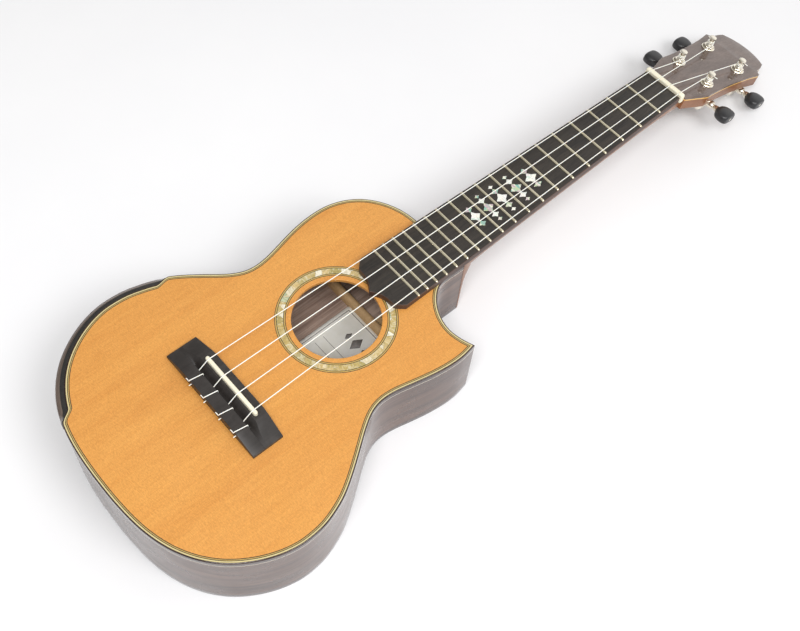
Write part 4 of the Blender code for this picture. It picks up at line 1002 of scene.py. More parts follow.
class BuildSides(bpy.types.Operator):
    """The two bent sides with the kerfed linings glued inside them"""

    bl_idname = "ukulele.sides"
    bl_label = "Sides and linings"

    def execute(self, context):
        sizes = context.scene.ukulele_body
        drop = (sizes.binding_height + sizes.light_line) / MM
        top = TOP_Z - PLATE - 0.3
        line = outline()
        last = len(line.points) - 1
        for name, first, final in (("rib_bass", 0, line.tail), ("rib_treble", line.tail, last)):
            surface = Surface()
            stations = []
            grain = []
            for i in range(first, final + 1):
                x, y = line.points[i]
                inset = line.inset[i]
                by_tail = y < TAIL_Y + BY_TAIL_BLOCK[1] and abs(x) < BY_TAIL_BLOCK[0]
                by_neck = y > JOIN_Y - BY_NECK_BLOCK[1] and abs(x) < BY_NECK_BLOCK[0]
                deep = LINING_CUT if i % LINING_EVERY == 0 else LINING
                if by_tail or by_neck:
                    deep = 2.3
                low = back_z(y) + PLATE + 0.3
                section = [
                    (0.0, TOP_Z - drop), (LEDGE, TOP_Z - drop), (LEDGE, top), (deep + inset, top),
                    (deep + inset, top - 4.0), (2.0, top - 9.0 - inset), (2.0, low + 9.0), (deep, low + 5.5),
                    (deep, low), (LEDGE, low), (LEDGE, back_z(y) + drop), (0.0, back_z(y) + drop),
                ]
                stations.append([(*line.at(i, depth), z) for depth, z in section])
                grain.append([(z, line.run[i]) for _, z in section])
            surface.loft(stations, [0, 0, 0, 1, 1, 2, 1, 1, 0, 0, 0, 0], grain=grain)
            # The sides' inner wall takes the bare back wood, lightened as painted light.
            names = ["side wood", "brace wood", "bare back wood"]
            make(name + "_bent", surface, names, stands_for=[name], smooth=50.0)
        return {"FINISHED"}


class BuildArmRest(bpy.types.Operator):
    """The rounded strip of dark wood let into the bass edge, where the arm lies"""

    bl_idname = "ukulele.arm_rest"
    bl_label = "Arm rest"

    def execute(self, context):
        most = context.scene.ukulele_body.arm_proud / MM
        line = outline()
        surface = Surface()
        stations = []
        grain = []
        for i in range(line.horn):
            inset = line.inset[i]
            if inset < 0.5:
                continue
            reach = min(line.run[i] - line.arm_from, line.arm_to - line.run[i])
            proud = ARM_LEAST + (most - ARM_LEAST) * eased(reach / ARM_SWELL)
            rows = [
                (inset, 0.02), (inset * 0.62, 0.66), (inset * 0.2, 1.98), (-0.3 * (1 + proud), 3.8),
                (0.2 - proud, 6.3), (0.2 - proud, 9.0), (-0.7, 11.9),
            ]
            section = [(float(a), float(b)) for a, b in smooth_curve(rows, 3)]
            section += [(-0.02, 12.1), (-0.02, PLATE + 0.2), (inset, PLATE + 0.2)]
            stations.append([(*line.at(i, depth), TOP_Z - drop) for depth, drop in section])
            grain.append(grain_row(section, line.run[i]))
        # The four inner faces take the black line and the outer bevel the grey-brown wood: painted sheen on the outer
        # bevel beside the wood's own black.
        surface.loft(stations, [1] * 4 + [0] * 18, grain=grain)
        names = ["arm rest wood", "black line"]
        make("arm_rest_strip", surface, names, stands_for=["arm_rest"], smooth=60.0)
        return {"FINISHED"}


def span_at(loop, y, wide):
    """The left and right ends that a bar across the body at y has inside a loop."""
    lefts = []
    rights = []
    for level in (y - wide / 2, y, y + wide / 2):
        for (x0, y0), (x1, y1) in zip(loop, loop[1:] + loop[:1]):
            if (y0 - level) * (y1 - level) < 0:
                x = x0 + (x1 - x0) * (level - y0) / (y1 - y0)
                (lefts if x < 0 else rights).append(x)
    return max(lefts), min(rights)


BRACE_SECTION = (
    (-0.5, 0.0), (-0.5, 0.62), (-0.36, 0.86), (-0.13, 0.99), (0.13, 0.99), (0.36, 0.86), (0.5, 0.62), (0.5, 0.0),
)
INNER_EDGE = LINING + 0.6
BACK_BARS = (-301.5, -377.0, -432.0, -486.0)
TAIL_BLOCK = (34.0, 19.5)
NECK_BLOCK = (21.4, 24.3)
LABEL = (-28.0, 29.5, -363.3, -304.3)
LABEL_MARKS_Y = -321.5
LABEL_CURL = 2.4


def brace(surface, start, end, wide, tall, base, way):
    """A bar with a rounded crown and scooped ends, glued at base and rising the given way, 1 or -1."""
    start, end = np.array(start, float), np.array(end, float)
    length = np.linalg.norm(end - start)
    along = (end - start) / length
    side = np.array([-along[1], along[0]])
    stations = []
    for t in np.linspace(0.0, 1.0, 17):
        centre = start + (end - start) * t
        scoop = min(min(t, 1 - t) * length / 18.0, 1.0)
        high = way * tall * (0.35 + 0.65 * scoop ** 2)
        flat = [(*(centre + side * wide * across), up) for across, up in BRACE_SECTION]
        stations.append([(x, y, height_at(base, y) + high * up) for x, y, up in flat])
    surface.loft(stations)


class BuildInside(bpy.types.Operator):
    """The braces, the blocks and the label inside the soundbox"""

    bl_idname = "ukulele.inside"
    bl_label = "Braces, blocks and label"

    def execute(self, context):
        line = outline()
        under = TOP_Z - PLATE - 0.02
        floor = above_back(PLATE + 0.02)
        top = Surface()
        upper = HOLE_Y + 42.6
        lower = HOLE_Y - 45.4
        inner = line.loop(INNER_EDGE, 1.0)
        for y, tall in ((upper, 9.0), (lower, 9.2)):
            left, right = span_at(inner, y, 7.0)
            brace(top, (left, y), (right, y), 7.0, tall, under, -1)
        for x in (-49.0, 49.0):
            brace(top, (x, upper - 3), (x, lower + 3), 8.0, 5.0, under, -1)
        for x0, x1, end, tall in ((0.0, 0.0, 28.5, 6.0), (-20.0, -46.0, 41.5, 6.1), (20.0, 46.0, 41.5, 6.2)):
            brace(top, (x0, lower - 3), (x1, TAIL_Y + end), 5.0, tall, under, -1)
        brace(top, (-52.0, SADDLE_Y - 5.8), (52.0, SADDLE_Y - 5.8), 26.0, 2.0, under, -1)
        make("top_braces", top, ["brace wood"], stands_for=["top_bracing"])

        ladder = Surface()
        inner = line.loop(INNER_EDGE)
        brace(ladder, (0.0, TAIL_Y + 21.5), (0.0, JOIN_Y - 26.3), 14.0, 1.5, floor, 1)
        for y in BACK_BARS:
            left, right = span_at(inner, y, 6.5)
            brace(ladder, (left, y), (right, y), 6.5, 8.2, floor, 1)
        make("back_braces", ladder, ["brace wood"], stands_for=["back_bracing"])

        half, deep = TAIL_BLOCK
        edge = [line.at(i, 2.3) for i in range(line.tail - 26, line.tail + 27)]
        tail = [(x, y) for x, y in edge if abs(x) < half] + [(half, TAIL_Y + deep), (-half, TAIL_Y + deep)]
        half, deep = NECK_BLOCK
        rear, front = JOIN_Y - deep, JOIN_Y - 2.0
        neck = [(-half, rear), (half, rear), (half, front), (-half, front)]
        for name, shape, nodes in (("tail_block_wood", tail, ["tail_block"]), ("neck_block_wood", neck, ())):
            block = Surface()
            block.loft(rings([(shape, above_back(PLATE + 0.32)), (shape, under - 0.3)]))
            soften(make(name, block, ["bare neck wood"], stands_for=nodes), 0.8)
        self.add_label(floor)
        return {"FINISHED"}

    def add_label(self, floor):
        """A blank label: a ruled frame, three lozenges and empty writing lines on pale paper."""
        left, right, low, high = LABEL
        label = Surface()
        xs = [left, left + 2.4, left + 3.1, left + 8.0, right - 8.0, right - 3.1, right - 2.4, right]
        ys = [low, low + 2.4, low + 3.1]
        for rule in (11.0, 19.0, 27.0):
            ys += [low + rule, low + rule + 0.4]
        ys += [high - 3.1, high - 2.4, high]

        def at(x, y, lift=1.75):
            return (x, y, floor(y) + lift + LABEL_CURL * ((x - left) / (right - left) - 0.5) ** 4)

        grid = [label.add([at(x, y) for x in xs]) for y in ys]
        last_row, last_col = len(ys) - 3, len(xs) - 3
        for row in range(len(ys) - 1):
            for col in range(len(xs) - 1):
                inked = row in (1, last_row) and 1 <= col <= last_col
                inked = inked or (col in (1, last_col) and 1 <= row <= last_row)
                inked = inked or (col == 3 and row in (3, 5, 7))
                here, there = grid[row], grid[row + 1]
                label.face((here[col], here[col + 1], there[col + 1], there[col]), int(inked))
        y = LABEL_MARKS_Y
        for x, wide, tall in ((0.75, 4.2, 6.4), (-8.2, 2.4, 3.6), (9.7, 2.4, 3.6)):
            corners = [(x - wide, y), (x, y - tall), (x + wide, y), (x, y + tall)]
            label.face(label.add([at(*corner, 2.0) for corner in corners]), 1)
        step = make("label_sheet", label, ["label paper", "label ink"]).modifiers.new("paper thickness", "SOLIDIFY")
        step.thickness = 0.00012


# Neck and fretboard
HEAD_FLARE = [(18.9, 1.6), (20.2, 6.0), (22.6, 14.0), (25.2, 22.0), (26.2, 26.0)]
HEAD_FLANK = [(26.2, 26.0), (25.9, 34.0), (25.7, 45.0), (25.9, 58.0), (26.6, 72.0), (27.8, 86.0), (29.9, 99.0)]
HEAD_COVE = [(29.9, 99.0), (27.3, 100.6), (25.6, 103.0), (24.8, 106.5), (24.2, 110.0), (22.4, 115.0)]
HEAD_CROWN = [(22.4, 115.0), (17.0, 117.4), (9.0, 119.6), (0.0, 120.4), (-9.0, 119.6), (-17.0, 117.4), (-22.4, 115.0)]
FERRULE_R = 4.2


def head_loop():
    """The headstock's outline, anticlockwise from the nut's treble side."""
    flank = [tuple(p) for rows in (HEAD_FLARE, HEAD_FLANK, HEAD_COVE) for p in smooth_curve(rows, 5)[:-1]]
    crown = [tuple(p) for p in smooth_curve(HEAD_CROWN, 5)]
    return flank + crown + [(-x, y) for x, y in flank[::-1]]


def post_holes():
    return [circle(x, y, FERRULE_R + 0.1, 40) for x, y in POSTS]


def plate(surface, loop, low, high, ease=0.0, foot=0.0, holes=()):
    """A flat piece from an anticlockwise loop, with eased edges and holes through it."""
    rows = []
    for radius, level, up in ((foot, low, 1.0), (ease, high, -1.0)):
        turns = steps_of(math.pi / 2, 4) if radius else [math.pi / 2]
        edge = [(radius * (1 - math.sin(a)), level + up * radius * (1 - math.cos(a))) for a in turns]
        rows += edge if up > 0 else edge[::-1]
    stations = rings([(shrunk(loop, inset), z) for inset, z in rows])
    surface.loft(stations, caps=False)
    for station, level in ((stations[0], low), (stations[-1], high)):
        surface.sheet([[(x, y) for x, y, _ in station], *holes], level)
    for hole in holes:
        surface.loft(rings([(hole, low), (hole, high)]), caps=False)
    return surface


def turned(profile):
    """A turned solid about Z from (radius, height) pairs."""
    surface = Surface()
    surface.loft(rings([(circle(0.0, 0.0, radius, 48), height) for radius, height in profile]))
    return surface


class BuildNeck(bpy.types.Operator):
    """The neck with its heel and headstock, and the veneer under the headplate"""

    bl_idname = "ukulele.neck"
    bl_label = "Neck"

    def execute(self, context):
        near, far = JOIN_Y + 0.3, -215.0
        below = [(near, CUT_X - 0.1, TOP_Z, -26.0, 0.9), (far, board_half(far) - 0.1, TOP_Z, -23.4, 1.0)]
        for y, low, power in ((-150.0, -22.4, 1.0), (-60.0, -21.8, 1.0), (-26.0, -21.6, 0.9), (0.0, -21.4, 0.6)):
            below.append((y, board_half(y) - 0.1, TOP_Z, low, power))
        throat = [
            (10.0, 17.95, -10.2, -20.9, 0.57), (15.0, 17.8, -11.5, -20.4, 0.58), (22.0, 17.0, -14.0, -19.0, 0.6),
        ]
        rows = [*smooth_curve(below, 8), (5.3, 18.0, TOP_Z, -21.3, 0.56), (6.0, 18.0, -9.0, -21.2, 0.56)]
        stations = []
        for y, half, top, low, power in [*rows, *smooth_curve(throat, 4)]:
            section = []
            mid = board_middle(y) * min(1.0, (y - near) / 18.0)
            for angle in steps_of(math.pi, 30):
                wide = math.copysign(abs(math.cos(angle)) ** power, math.cos(angle))
                section.append((mid + half * wide, y, top + (low - top) * max(math.sin(angle), 0.0) ** power))
            stations.append(section)
        shaft = Surface()
        shaft.loft(stations)
        neck = make("neck_wood_whole", shaft, ["neck wood"], keep=True)

        reaches = [
            (TOP_Z - 1.0, 24.0), (-15.0, 23.0), (-20.0, 20.5), (-25.0, 16.0), (-31.0, 12.5), (-40.0, 10.2),
            (-52.0, 8.8),
        ]
        rows = [(z, reach, 0.0) for z, reach in smooth_curve(reaches, 4)]
        stations = []
        for height, reach, inset in [*rows, (-59.5, 8.4, 0.0), (above_back(0.48), 8.2, 0.0), (back_z, 7.7, 0.5)]:
            section = []
            for angle in steps_of(math.pi, 36):
                y = near + reach * math.sin(angle)
                section.append(((CUT_X - 0.1 - inset) * math.cos(angle), y, height_at(height, y)))
            stations.append(section)
        heel = Surface()
        heel.loft(stations)
        core = plate(Surface(), head_loop(), -HEAD_THICK, -HEAD_PLATE - 1.0, foot=1.0, holes=post_holes())
        others = [
            make("heel_wood", heel, ["neck wood"], keep=True),
            make("head_wood", core, ["neck wood"], place=HEAD, keep=True),
        ]
        seated(combined(neck, others, "UNION"), stands_for=["neck"])

        sliver = [(x, max(y, 2.2)) for x, y in head_loop()]
        veneer = plate(Surface(), sliver, -HEAD_PLATE - 1.0, -HEAD_PLATE, holes=post_holes())
        make("head_veneer", veneer, ["veneer line"], place=HEAD)
        face = plate(Surface(), sliver, -HEAD_PLATE, 0.0, ease=0.7, holes=post_holes())
        make("headplate_face", face, ["headplate wood"], place=HEAD, stands_for=["headplate"])
        return {"FINISHED"}


def board_end():
    """The fretboard's shaped lower end, from the bass corner round the tip to the treble corner."""
    last = fret_y(FRET_COUNT)
    corner = board_half(last - 11.7)
    shape = ((0.6, 11.7), (5.3, 17.1), (8.0, 18.4), (13.5, 18.7), (18.5, 20.1), (22.3, 22.3), (corner, 24.9))
    half = [tuple(p) for p in smooth_curve([(corner - inset, last - drop) for inset, drop in shape], 5)]
    return [(-x, y) for x, y in half[:-1]] + half[::-1]


def lozenge(x, y, wide, tall):
    """A lozenge with hollow sides."""
    loop = []
    for i in range(16):
        angle = math.pi / 8 * i
        reach = 1.0 - 0.42 * math.sin(math.pi / 4 * (i % 4))
        loop.append((x + wide * reach * math.cos(angle), y + tall * reach * math.sin(angle)))
    return loop


class BuildFretboard(bpy.types.Operator):
    """The fretboard and its geometric shell inlay"""

    bl_idname = "ukulele.fretboard"
    bl_label = "Fretboard and inlay"

    def execute(self, context):
        right = [(board_half(y), y) for y in (-240.0, -180.0, -120.0, -60.0)] + [(NUT_HALF, 0.0)]
        loop = board_end() + right + [(-x, y) for x, y in right[::-1]]
        loop = [(x + board_middle(y), y) for x, y in loop]
        board = plate(Surface(), loop, TOP_Z + 0.05, BOARD_TOP, ease=0.35)
        board.finishes = [int(len(corners) == 4) for corners in board.faces]
        names = ["fretboard wood", "board edge wood"]
        make("fretboard_plate", board, names, stands_for=["fretboard"])

        shells = (Surface(), Surface())
        level = BOARD_TOP + 0.012
        for i, n in enumerate(range(7, 12)):
            y = (fret_y(n) + fret_y(n + 1)) / 2
            tall = (fret_y(n) - fret_y(n + 1)) * 0.36
            mid = board_middle(y)
            marks = [(0, 0.0, 5.2, 1.0), (1, -7.6, 2.7, 0.72), (1, 7.6, 2.7, 0.72)]
            if 1 <= i <= 3:
                marks += [(0, -12.6, 1.7, 0.46), (0, 12.6, 1.7, 0.46)]
            for other, x, wide, part in marks:
                mark = lozenge(mid + x, y, wide, tall * part)
                plate(shells[(i + other) % 2], mark, level - 0.6, level)
        for colour, surface in zip(("white", "green"), shells):
            make(f"inlay_{colour}", surface, [f"{colour} shell"])
        return {"FINISHED"}


class BuildFrets(bpy.types.Operator):
    """The nineteen frets, each a crowned wire with rounded ends"""

    bl_idname = "ukulele.frets"
    bl_label = "Frets"

    def execute(self, context):
        sizes = context.scene.ukulele_neck
        wide = sizes.fret_width / MM / 2
        tall = sizes.fret_height / MM
        base = BOARD_TOP - 0.3
        ends = [(0.0, 0.3), (0.12, 0.55), (0.35, 0.8), (0.7, 0.95), (1.1, 1.0)]
        for n in range(1, FRET_COUNT + 1):
            y = fret_y(n)
            half = board_half(y) - 0.15
            mid = board_middle(y)
            places = [(mid - half + run, grow) for run, grow in ends]
            places += [(mid + half - run, grow) for run, grow in ends[::-1]]
            stations = []
            for x, grow in places:
                reach = wide * grow
                crown = [
                    (x, y + reach * math.cos(angle), BOARD_TOP + tall * grow * math.sin(angle))
                    for angle in steps_of(math.pi, 12)
                ]
                stations.append([(x, y + reach, base), *crown, (x, y - reach, base)])
            wire = Surface()
            wire.loft(stations)
            name = f"{n:02d}"
            make("fret_wire_" + name, wire, ["fret metal"], stands_for=["fret_" + name], smooth=60.0)
        return {"FINISHED"}


NUT_X = (-16.6, -6.4, 3.9, 14.1)
SADDLE_X = (-24.2, -8.1, 8.1, 24.2)
STRING_NUT_Z = 0.8
STRING_SADDLE_Z = 4.0
NUT_FRONT = 0.3
NUT_TOP = 1.5


class BuildNut(bpy.types.Operator):
    """The bone nut with its four string slots"""

    bl_idname = "ukulele.nut"
    bl_label = "Nut"

    def execute(self, context):
        sizes = context.scene.ukulele_neck
        half = sizes.nut_half / MM
        thick = sizes.nut_thick / MM
        low = TOP_Z + 0.3
        ends = [(0.0, 1.25), (0.15, 0.8), (0.45, 0.4), (0.9, 0.12), (1.6, 0.0)]
        places = [(BOARD_LEAN - half + run, small) for run, small in ends]
        places += [(BOARD_LEAN + half - run, small) for run, small in ends[::-1]]
        stations = []
        for x, small in places:
            front = NUT_FRONT + small * 0.5
            rear = NUT_FRONT + thick - small * 0.5
            top = NUT_TOP - small
            crown = [
                (front, top - 1.1), (front + 0.15, top - 0.5), (front + 0.7, top - 0.1), ((front + rear) / 2, top),
                (rear - 1.2, top - 0.35), (rear - 0.35, top - 0.95), (rear, top - 1.8),
            ]
            stations.append([(x, front, low), *[(x, y, z) for y, z in smooth_curve(crown, 3)], (x, rear, low)])
        bone = Surface()
        bone.loft(stations)
        nut = make("nut_bone", bone, ["bone"], keep=True, smooth=50.0)
        slots = Surface()
        floor = STRING_NUT_Z - STRING_R - 0.04
        wide = 0.45
        for x in NUT_X:
            stations = []
            for y, low in ((-1.0, floor), (2.6, floor), (7.0, floor - 1.0)):
                arc = [
                    (x - wide * math.cos(angle), y, low + wide * (1 - math.sin(angle)))
                    for angle in steps_of(math.pi, 8)
                ]
                stations.append([*arc, (x + wide, y, 4.0), (x - wide, y, 4.0)])
            slots.loft(stations)
        cut = combined(nut, [make("nut_slots", slots, ["bone"], keep=True)], "DIFFERENCE", smooth=50.0)
        seated(cut, stands_for=["nut"])
        return {"FINISHED"}


BRIDGE_FRONT = SADDLE_Y + 7.0
BRIDGE_REAR = SADDLE_Y - 18.5
BRIDGE_HALF = 47.6
BRIDGE_TOP = 0.6
TIE_FRONT = SADDLE_Y - 9.2
TIE_HOLE_Z = -1.9
TIE_STEP = 5.0


def slot_loop(half, wide, centre_y, count=12):
    """A round-ended outline, long in X, anticlockwise."""
    loop = []
    for side in (1, -1):
        for angle in steps_of(math.pi, count):
            turn = angle - math.pi / 2
            loop.append((side * (half - wide + wide * math.cos(turn)), centre_y + side * wide * math.sin(turn)))
    return loop


class BuildBridge(bpy.types.Operator):
    """The tie-block bridge and its bone saddle"""

    bl_idname = "ukulele.bridge"
    bl_label = "Bridge and saddle"

    def section(self, x):
        """The bridge's outline at x: full height in the middle, falling to a thin wing beyond the scoop."""
        reach = abs(x)
        low = TOP_Z + 0.02
        fall = min(max((reach - 29.5) / (BRIDGE_HALF - 29.5), 0.0), 1.0)
        top = BRIDGE_TOP + (TOP_Z + 2.9 - BRIDGE_TOP) * fall
        scoop = 1.0 - min(max((reach - 30.0) / 11.0, 0.0), 1.0)
        floor = top - 0.05 - (BRIDGE_TOP + 3.6) * scoop ** 1.4
        deep = top - floor
        front = BRIDGE_FRONT - 1.7 * min(max((reach - 26.0) / (BRIDGE_HALF - 26.0), 0.0), 1.0)
        crest = SADDLE_Y - 2.8 - 3.0 * (1 - scoop)
        foot = SADDLE_Y - 7.2
        edge, chamfer = 0.45, 0.13
        line = [
            (front, low), (front, top - edge), (front - chamfer, top - chamfer), (front - edge, top),
            (crest, top - 0.02), (crest - 0.5, top - 0.02 - 0.09 * deep), (foot + 1.0, floor + 0.3 * deep),
            (foot + 0.2, floor + 0.1 * deep), (foot - 0.7, floor), (TIE_FRONT + 0.1, floor),
            (TIE_FRONT, top - 0.35 * scoop), (TIE_FRONT - 0.1, top - 0.1), (TIE_FRONT - 0.35, top),
            (BRIDGE_REAR + edge, top), (BRIDGE_REAR + chamfer, top - chamfer), (BRIDGE_REAR, top - edge),
            (BRIDGE_REAR, low),
        ]
        return [(x, y, z) for y, z in line]

    def execute(self, context):
        right = [0.0, 12.0, 26.0, 29.5, 30.0, 31.0, 32.2, 33.5, 35.0, 37.0, 39.0, 41.0, 44.0, BRIDGE_HALF - 0.4]
        stations = [self.section(x) for x in [-x for x in right[:0:-1]] + right]
        ends = [
            [(side * BRIDGE_HALF, y, z if z <= TOP_Z + 0.1 else z - 0.35) for _, y, z in near]
            for side, near in ((-1.0, stations[0]), (1.0, stations[-1]))
        ]
        block = Surface()
        block.loft([ends[0], *stations, ends[1]])
        bridge = make("bridge_block", block, ["bridge wood"], keep=True, smooth=25.0)
        slot = plate(Surface(), slot_loop(27.55, 1.65, SADDLE_Y), -3.2, 6.0)
        holes = Surface()
        for x in [*SADDLE_X, *[x + TIE_STEP for x in SADDLE_X]]:
            rim = circle(x, TIE_HOLE_Z, 0.75, 20)
            holes.loft([[(a, y, b) for a, b in rim] for y in (BRIDGE_REAR - 3.0, TIE_FRONT + 0.6)])
        cutters = [
            make(name, cutter, ["bridge wood"], keep=True)
            for name, cutter in (("saddle_slot", slot), ("tie_holes", holes))
        ]
        seated(combined(bridge, cutters, "DIFFERENCE", smooth=25.0), stands_for=["bridge"])
        top = STRING_SADDLE_Z - STRING_R - 0.03
        bar = plate(Surface(), slot_loop(27.4, 1.5, SADDLE_Y), -3.1, top, ease=1.0)
        make("saddle_bone", bar, ["bone"], stands_for=["saddle"], smooth=50.0)
        return {"FINISHED"}


# Tuners, each built for the +X side and mirrored in X for the other
FLOOR_H = -HEAD_THICK - 9.6
WORM_H = -HEAD_THICK - 4.9
WORM_OFFSET = 7.0
WORM_R = 2.2
POST_R = 2.3
GEAR_TEETH = 14
GEAR_TIP = 5.2
GEAR_FACE = 2.6
GEAR_R = WORM_OFFSET - WORM_R
PITCH = 2 * math.pi * GEAR_R / GEAR_TEETH
GRIP_X = 17.3
GRIP_LONG = 13.6


def rounded_box(x0, x1, y0, y1, radius, count=5):
    """A rectangle with round corners, anticlockwise."""
    loop = []
    for turn, (x, y) in enumerate(((x1, y0), (x1, y1), (x0, y1), (x0, y0))):
        cx = x + (-radius if x == x1 else radius)
        cy = y + (-radius if y == y1 else radius)
        start = -math.pi / 2 + turn * math.pi / 2
        for angle in steps_of(math.pi / 2, count):
            loop.append((cx + radius * math.cos(start + angle), cy + radius * math.sin(start + angle)))
    return loop


def along_x(profile, count=40):
    """A turned solid about the worm's axis from (x, radius) pairs."""
    surface = Surface()
    surface.loft([[(x, WORM_OFFSET + a, WORM_H + b) for a, b in circle(0.0, 0.0, r, count)] for x, r in profile])
    return surface


def blank(name, surface, place):
    """A metal part that is joined to others, or cut from them."""
    return make(name, surface, ["tuner metal"], place=place, keep=True)


class BuildTuners(bpy.types.Operator):
    """The four geared tuners: housings, bushings, posts with their wheels, and worm shafts with their grips"""

    bl_idname = "ukulele.tuners"
    bl_label = "Tuners"

    def execute(self, context):
        for number, (x, y) in enumerate(POSTS, start=1):
            flip = Matrix.Diagonal((1.0 if x > 0 else -1.0, 1.0, 1.0, 1.0))
            place = HEAD @ Matrix.Translation((x * MM, y * MM, 0.0)) @ flip
            for add in (self.add_post, self.add_ferrule, self.add_housing, self.add_shaft, self.add_grip):
                add(number, place)
        return {"FINISHED"}

    def add_post(self, number, place):
        profile = [
            (2.2, FLOOR_H + 1.9), (2.6, FLOOR_H + 2.2), (2.6, WORM_H), (3.0, WORM_H + 2.0), (3.0, 3.35), (2.9, 3.6),
            (2.45, 3.9), (POST_R, 4.2), (POST_R, 8.5), (2.4, 8.9), (2.75, 9.25), (3.05, 9.5), (3.15, 9.8),
            (3.15, 10.35), (3.0, 10.75), (2.6, 11.05), (1.9, 11.25), (1.0, 11.3),
        ]
        post = blank("post_turning", turned(profile), place)
        lead = PITCH / (2 * math.pi * WORM_R)
        flank = ((-0.34, 3.95), (-0.22, 4.6), (-0.13, GEAR_TIP))
        tooth = flank + tuple((-turn, radius) for turn, radius in flank[::-1])
        stations = []
        for rise in (-GEAR_FACE / 2, 0.0, GEAR_FACE / 2):
            section = []
            for i in range(GEAR_TEETH):
                for turn, radius in tooth:
                    angle = math.pi / 2 + rise * lead / GEAR_R + 2 * math.pi * (i + turn + 0.5) / GEAR_TEETH
                    section.append((radius * math.cos(angle), radius * math.sin(angle), WORM_H + rise))
            stations.append(section)
        wheel = Surface()
        wheel.loft(stations)
        combined(post, [blank("wheel_teeth", wheel, place)], "UNION", smooth=30.0)
        bore = Surface()
        bore.loft([[(x, a, b) for a, b in circle(0.0, 6.45, 0.75, 20)] for x in (-6.0, 6.0)])
        combined(post, [blank("bore", bore, place)], "DIFFERENCE", smooth=30.0)
        post.name = f"tuner_post_{number}"
        seated(post, f"post_{number}", [f"post_{number}"])

    def add_ferrule(self, number, place):
        """The bushing: a washer, a hexagon over it, and the bore of the post."""
        count = 48
        rows = [(FERRULE_R, -10.5), (FERRULE_R, 0.02), (5.75, 0.02), (5.85, 0.2), (5.85, 0.6), (5.7, 0.85), (5.4, 0.95)]
        shape = rings([(circle(0.0, 0.0, radius, count), height) for radius, height in rows])
        for grow, height in ((0.0, 0.95), (0.0, 2.5), (-0.2, 2.75), (-0.5, 2.9)):
            hexagon = []
            for i in range(count):
                angle = 2 * math.pi * i / count
                radius = 4.3 / math.cos((angle + math.pi / 6) % (math.pi / 3) - math.pi / 6) + grow
                hexagon.append((radius * math.cos(angle), radius * math.sin(angle), height))
            shape.append(hexagon)
        shape += rings([(circle(0.0, 0.0, 3.06, count), height) for height in (2.9, -10.5)])
        ring = Surface()
        ring.loft(shape, closed=True)
        names = [f"ferrule_{number}"]
        make(f"bushing_{number}", ring, ["tuner metal"], place=place, stands_for=names, smooth=25.0)

    def add_housing(self, number, place):
        lid = -HEAD_THICK - 0.02
        bowl = ((3.2, 0.0), (2.1, 0.2), (1.15, 0.9), (0.45, 2.0), (0.1, 3.4), (0.0, 4.6))
        outer = rounded_box(-8.8, 8.1, -7.3, 11.9, 3.3)
        inner = rounded_box(-6.7, 6.7, -5.8, 10.2, 1.0)
        rows = [(shrunk(outer, inset), FLOOR_H + rise) for inset, rise in bowl]
        cup = Surface()
        cup.loft(rings([*rows, (shrunk(outer, 0.0), lid), (inner, lid), (inner, FLOOR_H + 1.4)]))
        housing = blank("housing_cup", cup, place)
        boss = along_x([(7.4, 3.3), (10.4, 3.3), (11.6, 3.1), (12.2, 2.9), (12.4, 2.6)])
        combined(housing, [blank("boss", boss, place)], "UNION", smooth=30.0)
        bearing = along_x([(6.5, 1.96), (13.5, 1.96)])
        combined(housing, [blank("bearing", bearing, place)], "DIFFERENCE", smooth=30.0)
        housing.name = f"tuner_housing_{number}"
        seated(housing, "body", [f"housing_{number}"])

    def add_shaft(self, number, place):
        """The shaft that carries the grip, with the worm cut on it."""
        profile = [
            (-6.0, 1.3), (-5.2, 1.6), (6.9, 1.6), (6.95, 1.9), (13.9, 1.9), (14.0, 2.2), (14.6, 2.45), (16.2, 2.7),
            (16.8, 2.85), (16.95, 2.7), (17.0, 1.5), (26.0, 1.5),
        ]
        shaft = blank("shaft_turning", along_x(profile), place)
        stations = []
        for angle in steps_of(5 * math.pi, 60):
            turn = angle - 2.5 * math.pi
            around = turn + 1.5 * math.pi
            section = []
            for run, radius in ((-0.3, 1.5), (-0.11, 2.75), (0.11, 2.75), (0.3, 1.5)):
                x = PITCH * (turn / (2 * math.pi) + run)
                section.append((x, WORM_OFFSET + radius * math.sin(around), WORM_H - radius * math.cos(around)))
            stations.append(section)
        thread = Surface()
        thread.loft(stations)
        combined(shaft, [blank("thread", thread, place)], "UNION", smooth=30.0)
        shaft.name = f"tuner_shaft_{number}"
        seated(shaft, f"knob_{number}", [f"worm_shaft_{number}"])

    def add_grip(self, number, place):
        """The button that the fingers turn, and the screw in its end."""
        rows = [
            (0.0, 0.34, 0.55), (0.03, 0.5, 0.7), (0.1, 0.67, 0.83), (0.28, 0.88, 0.97), (0.55, 1.0, 1.0),
            (0.8, 0.96, 0.96), (0.93, 0.85, 0.86), (0.985, 0.68, 0.7), (1.0, 0.45, 0.48),
        ]
        stations = []
        for along, wide, thick in smooth_curve(rows, 4):
            x = GRIP_X + GRIP_LONG * float(along)
            section = []
            for c, s in circle(0.0, 0.0, 1.0, 48):
                across = 8.6 * wide * math.copysign(abs(c) ** 0.8, c)
                rise = 5.0 * thick * math.copysign(abs(s) ** 0.7, s)
                section.append((x, WORM_OFFSET + across, WORM_H + rise))
            stations.append(section)
        grip = Surface()
        grip.loft(stations)
        knob = f"knob_{number}"
        make(
            f"grip_{number}", grip, ["button plastic"], place=place, body=knob, stands_for=[f"button_{number}"],
            smooth=60.0,
        )
        end = GRIP_X + GRIP_LONG
        screw = along_x([(end - 1.0, 1.25), (end + 0.02, 1.25), (end + 0.22, 1.05), (end + 0.28, 0.6)], 24)
        make(f"grip_screw_{number}", screw, ["screw metal"], place=place, body=knob)


# Strings
WIND_R = POST_R + STRING_R + 0.08
FIRST_TURN_H = 4.75
TURNS = 2.25


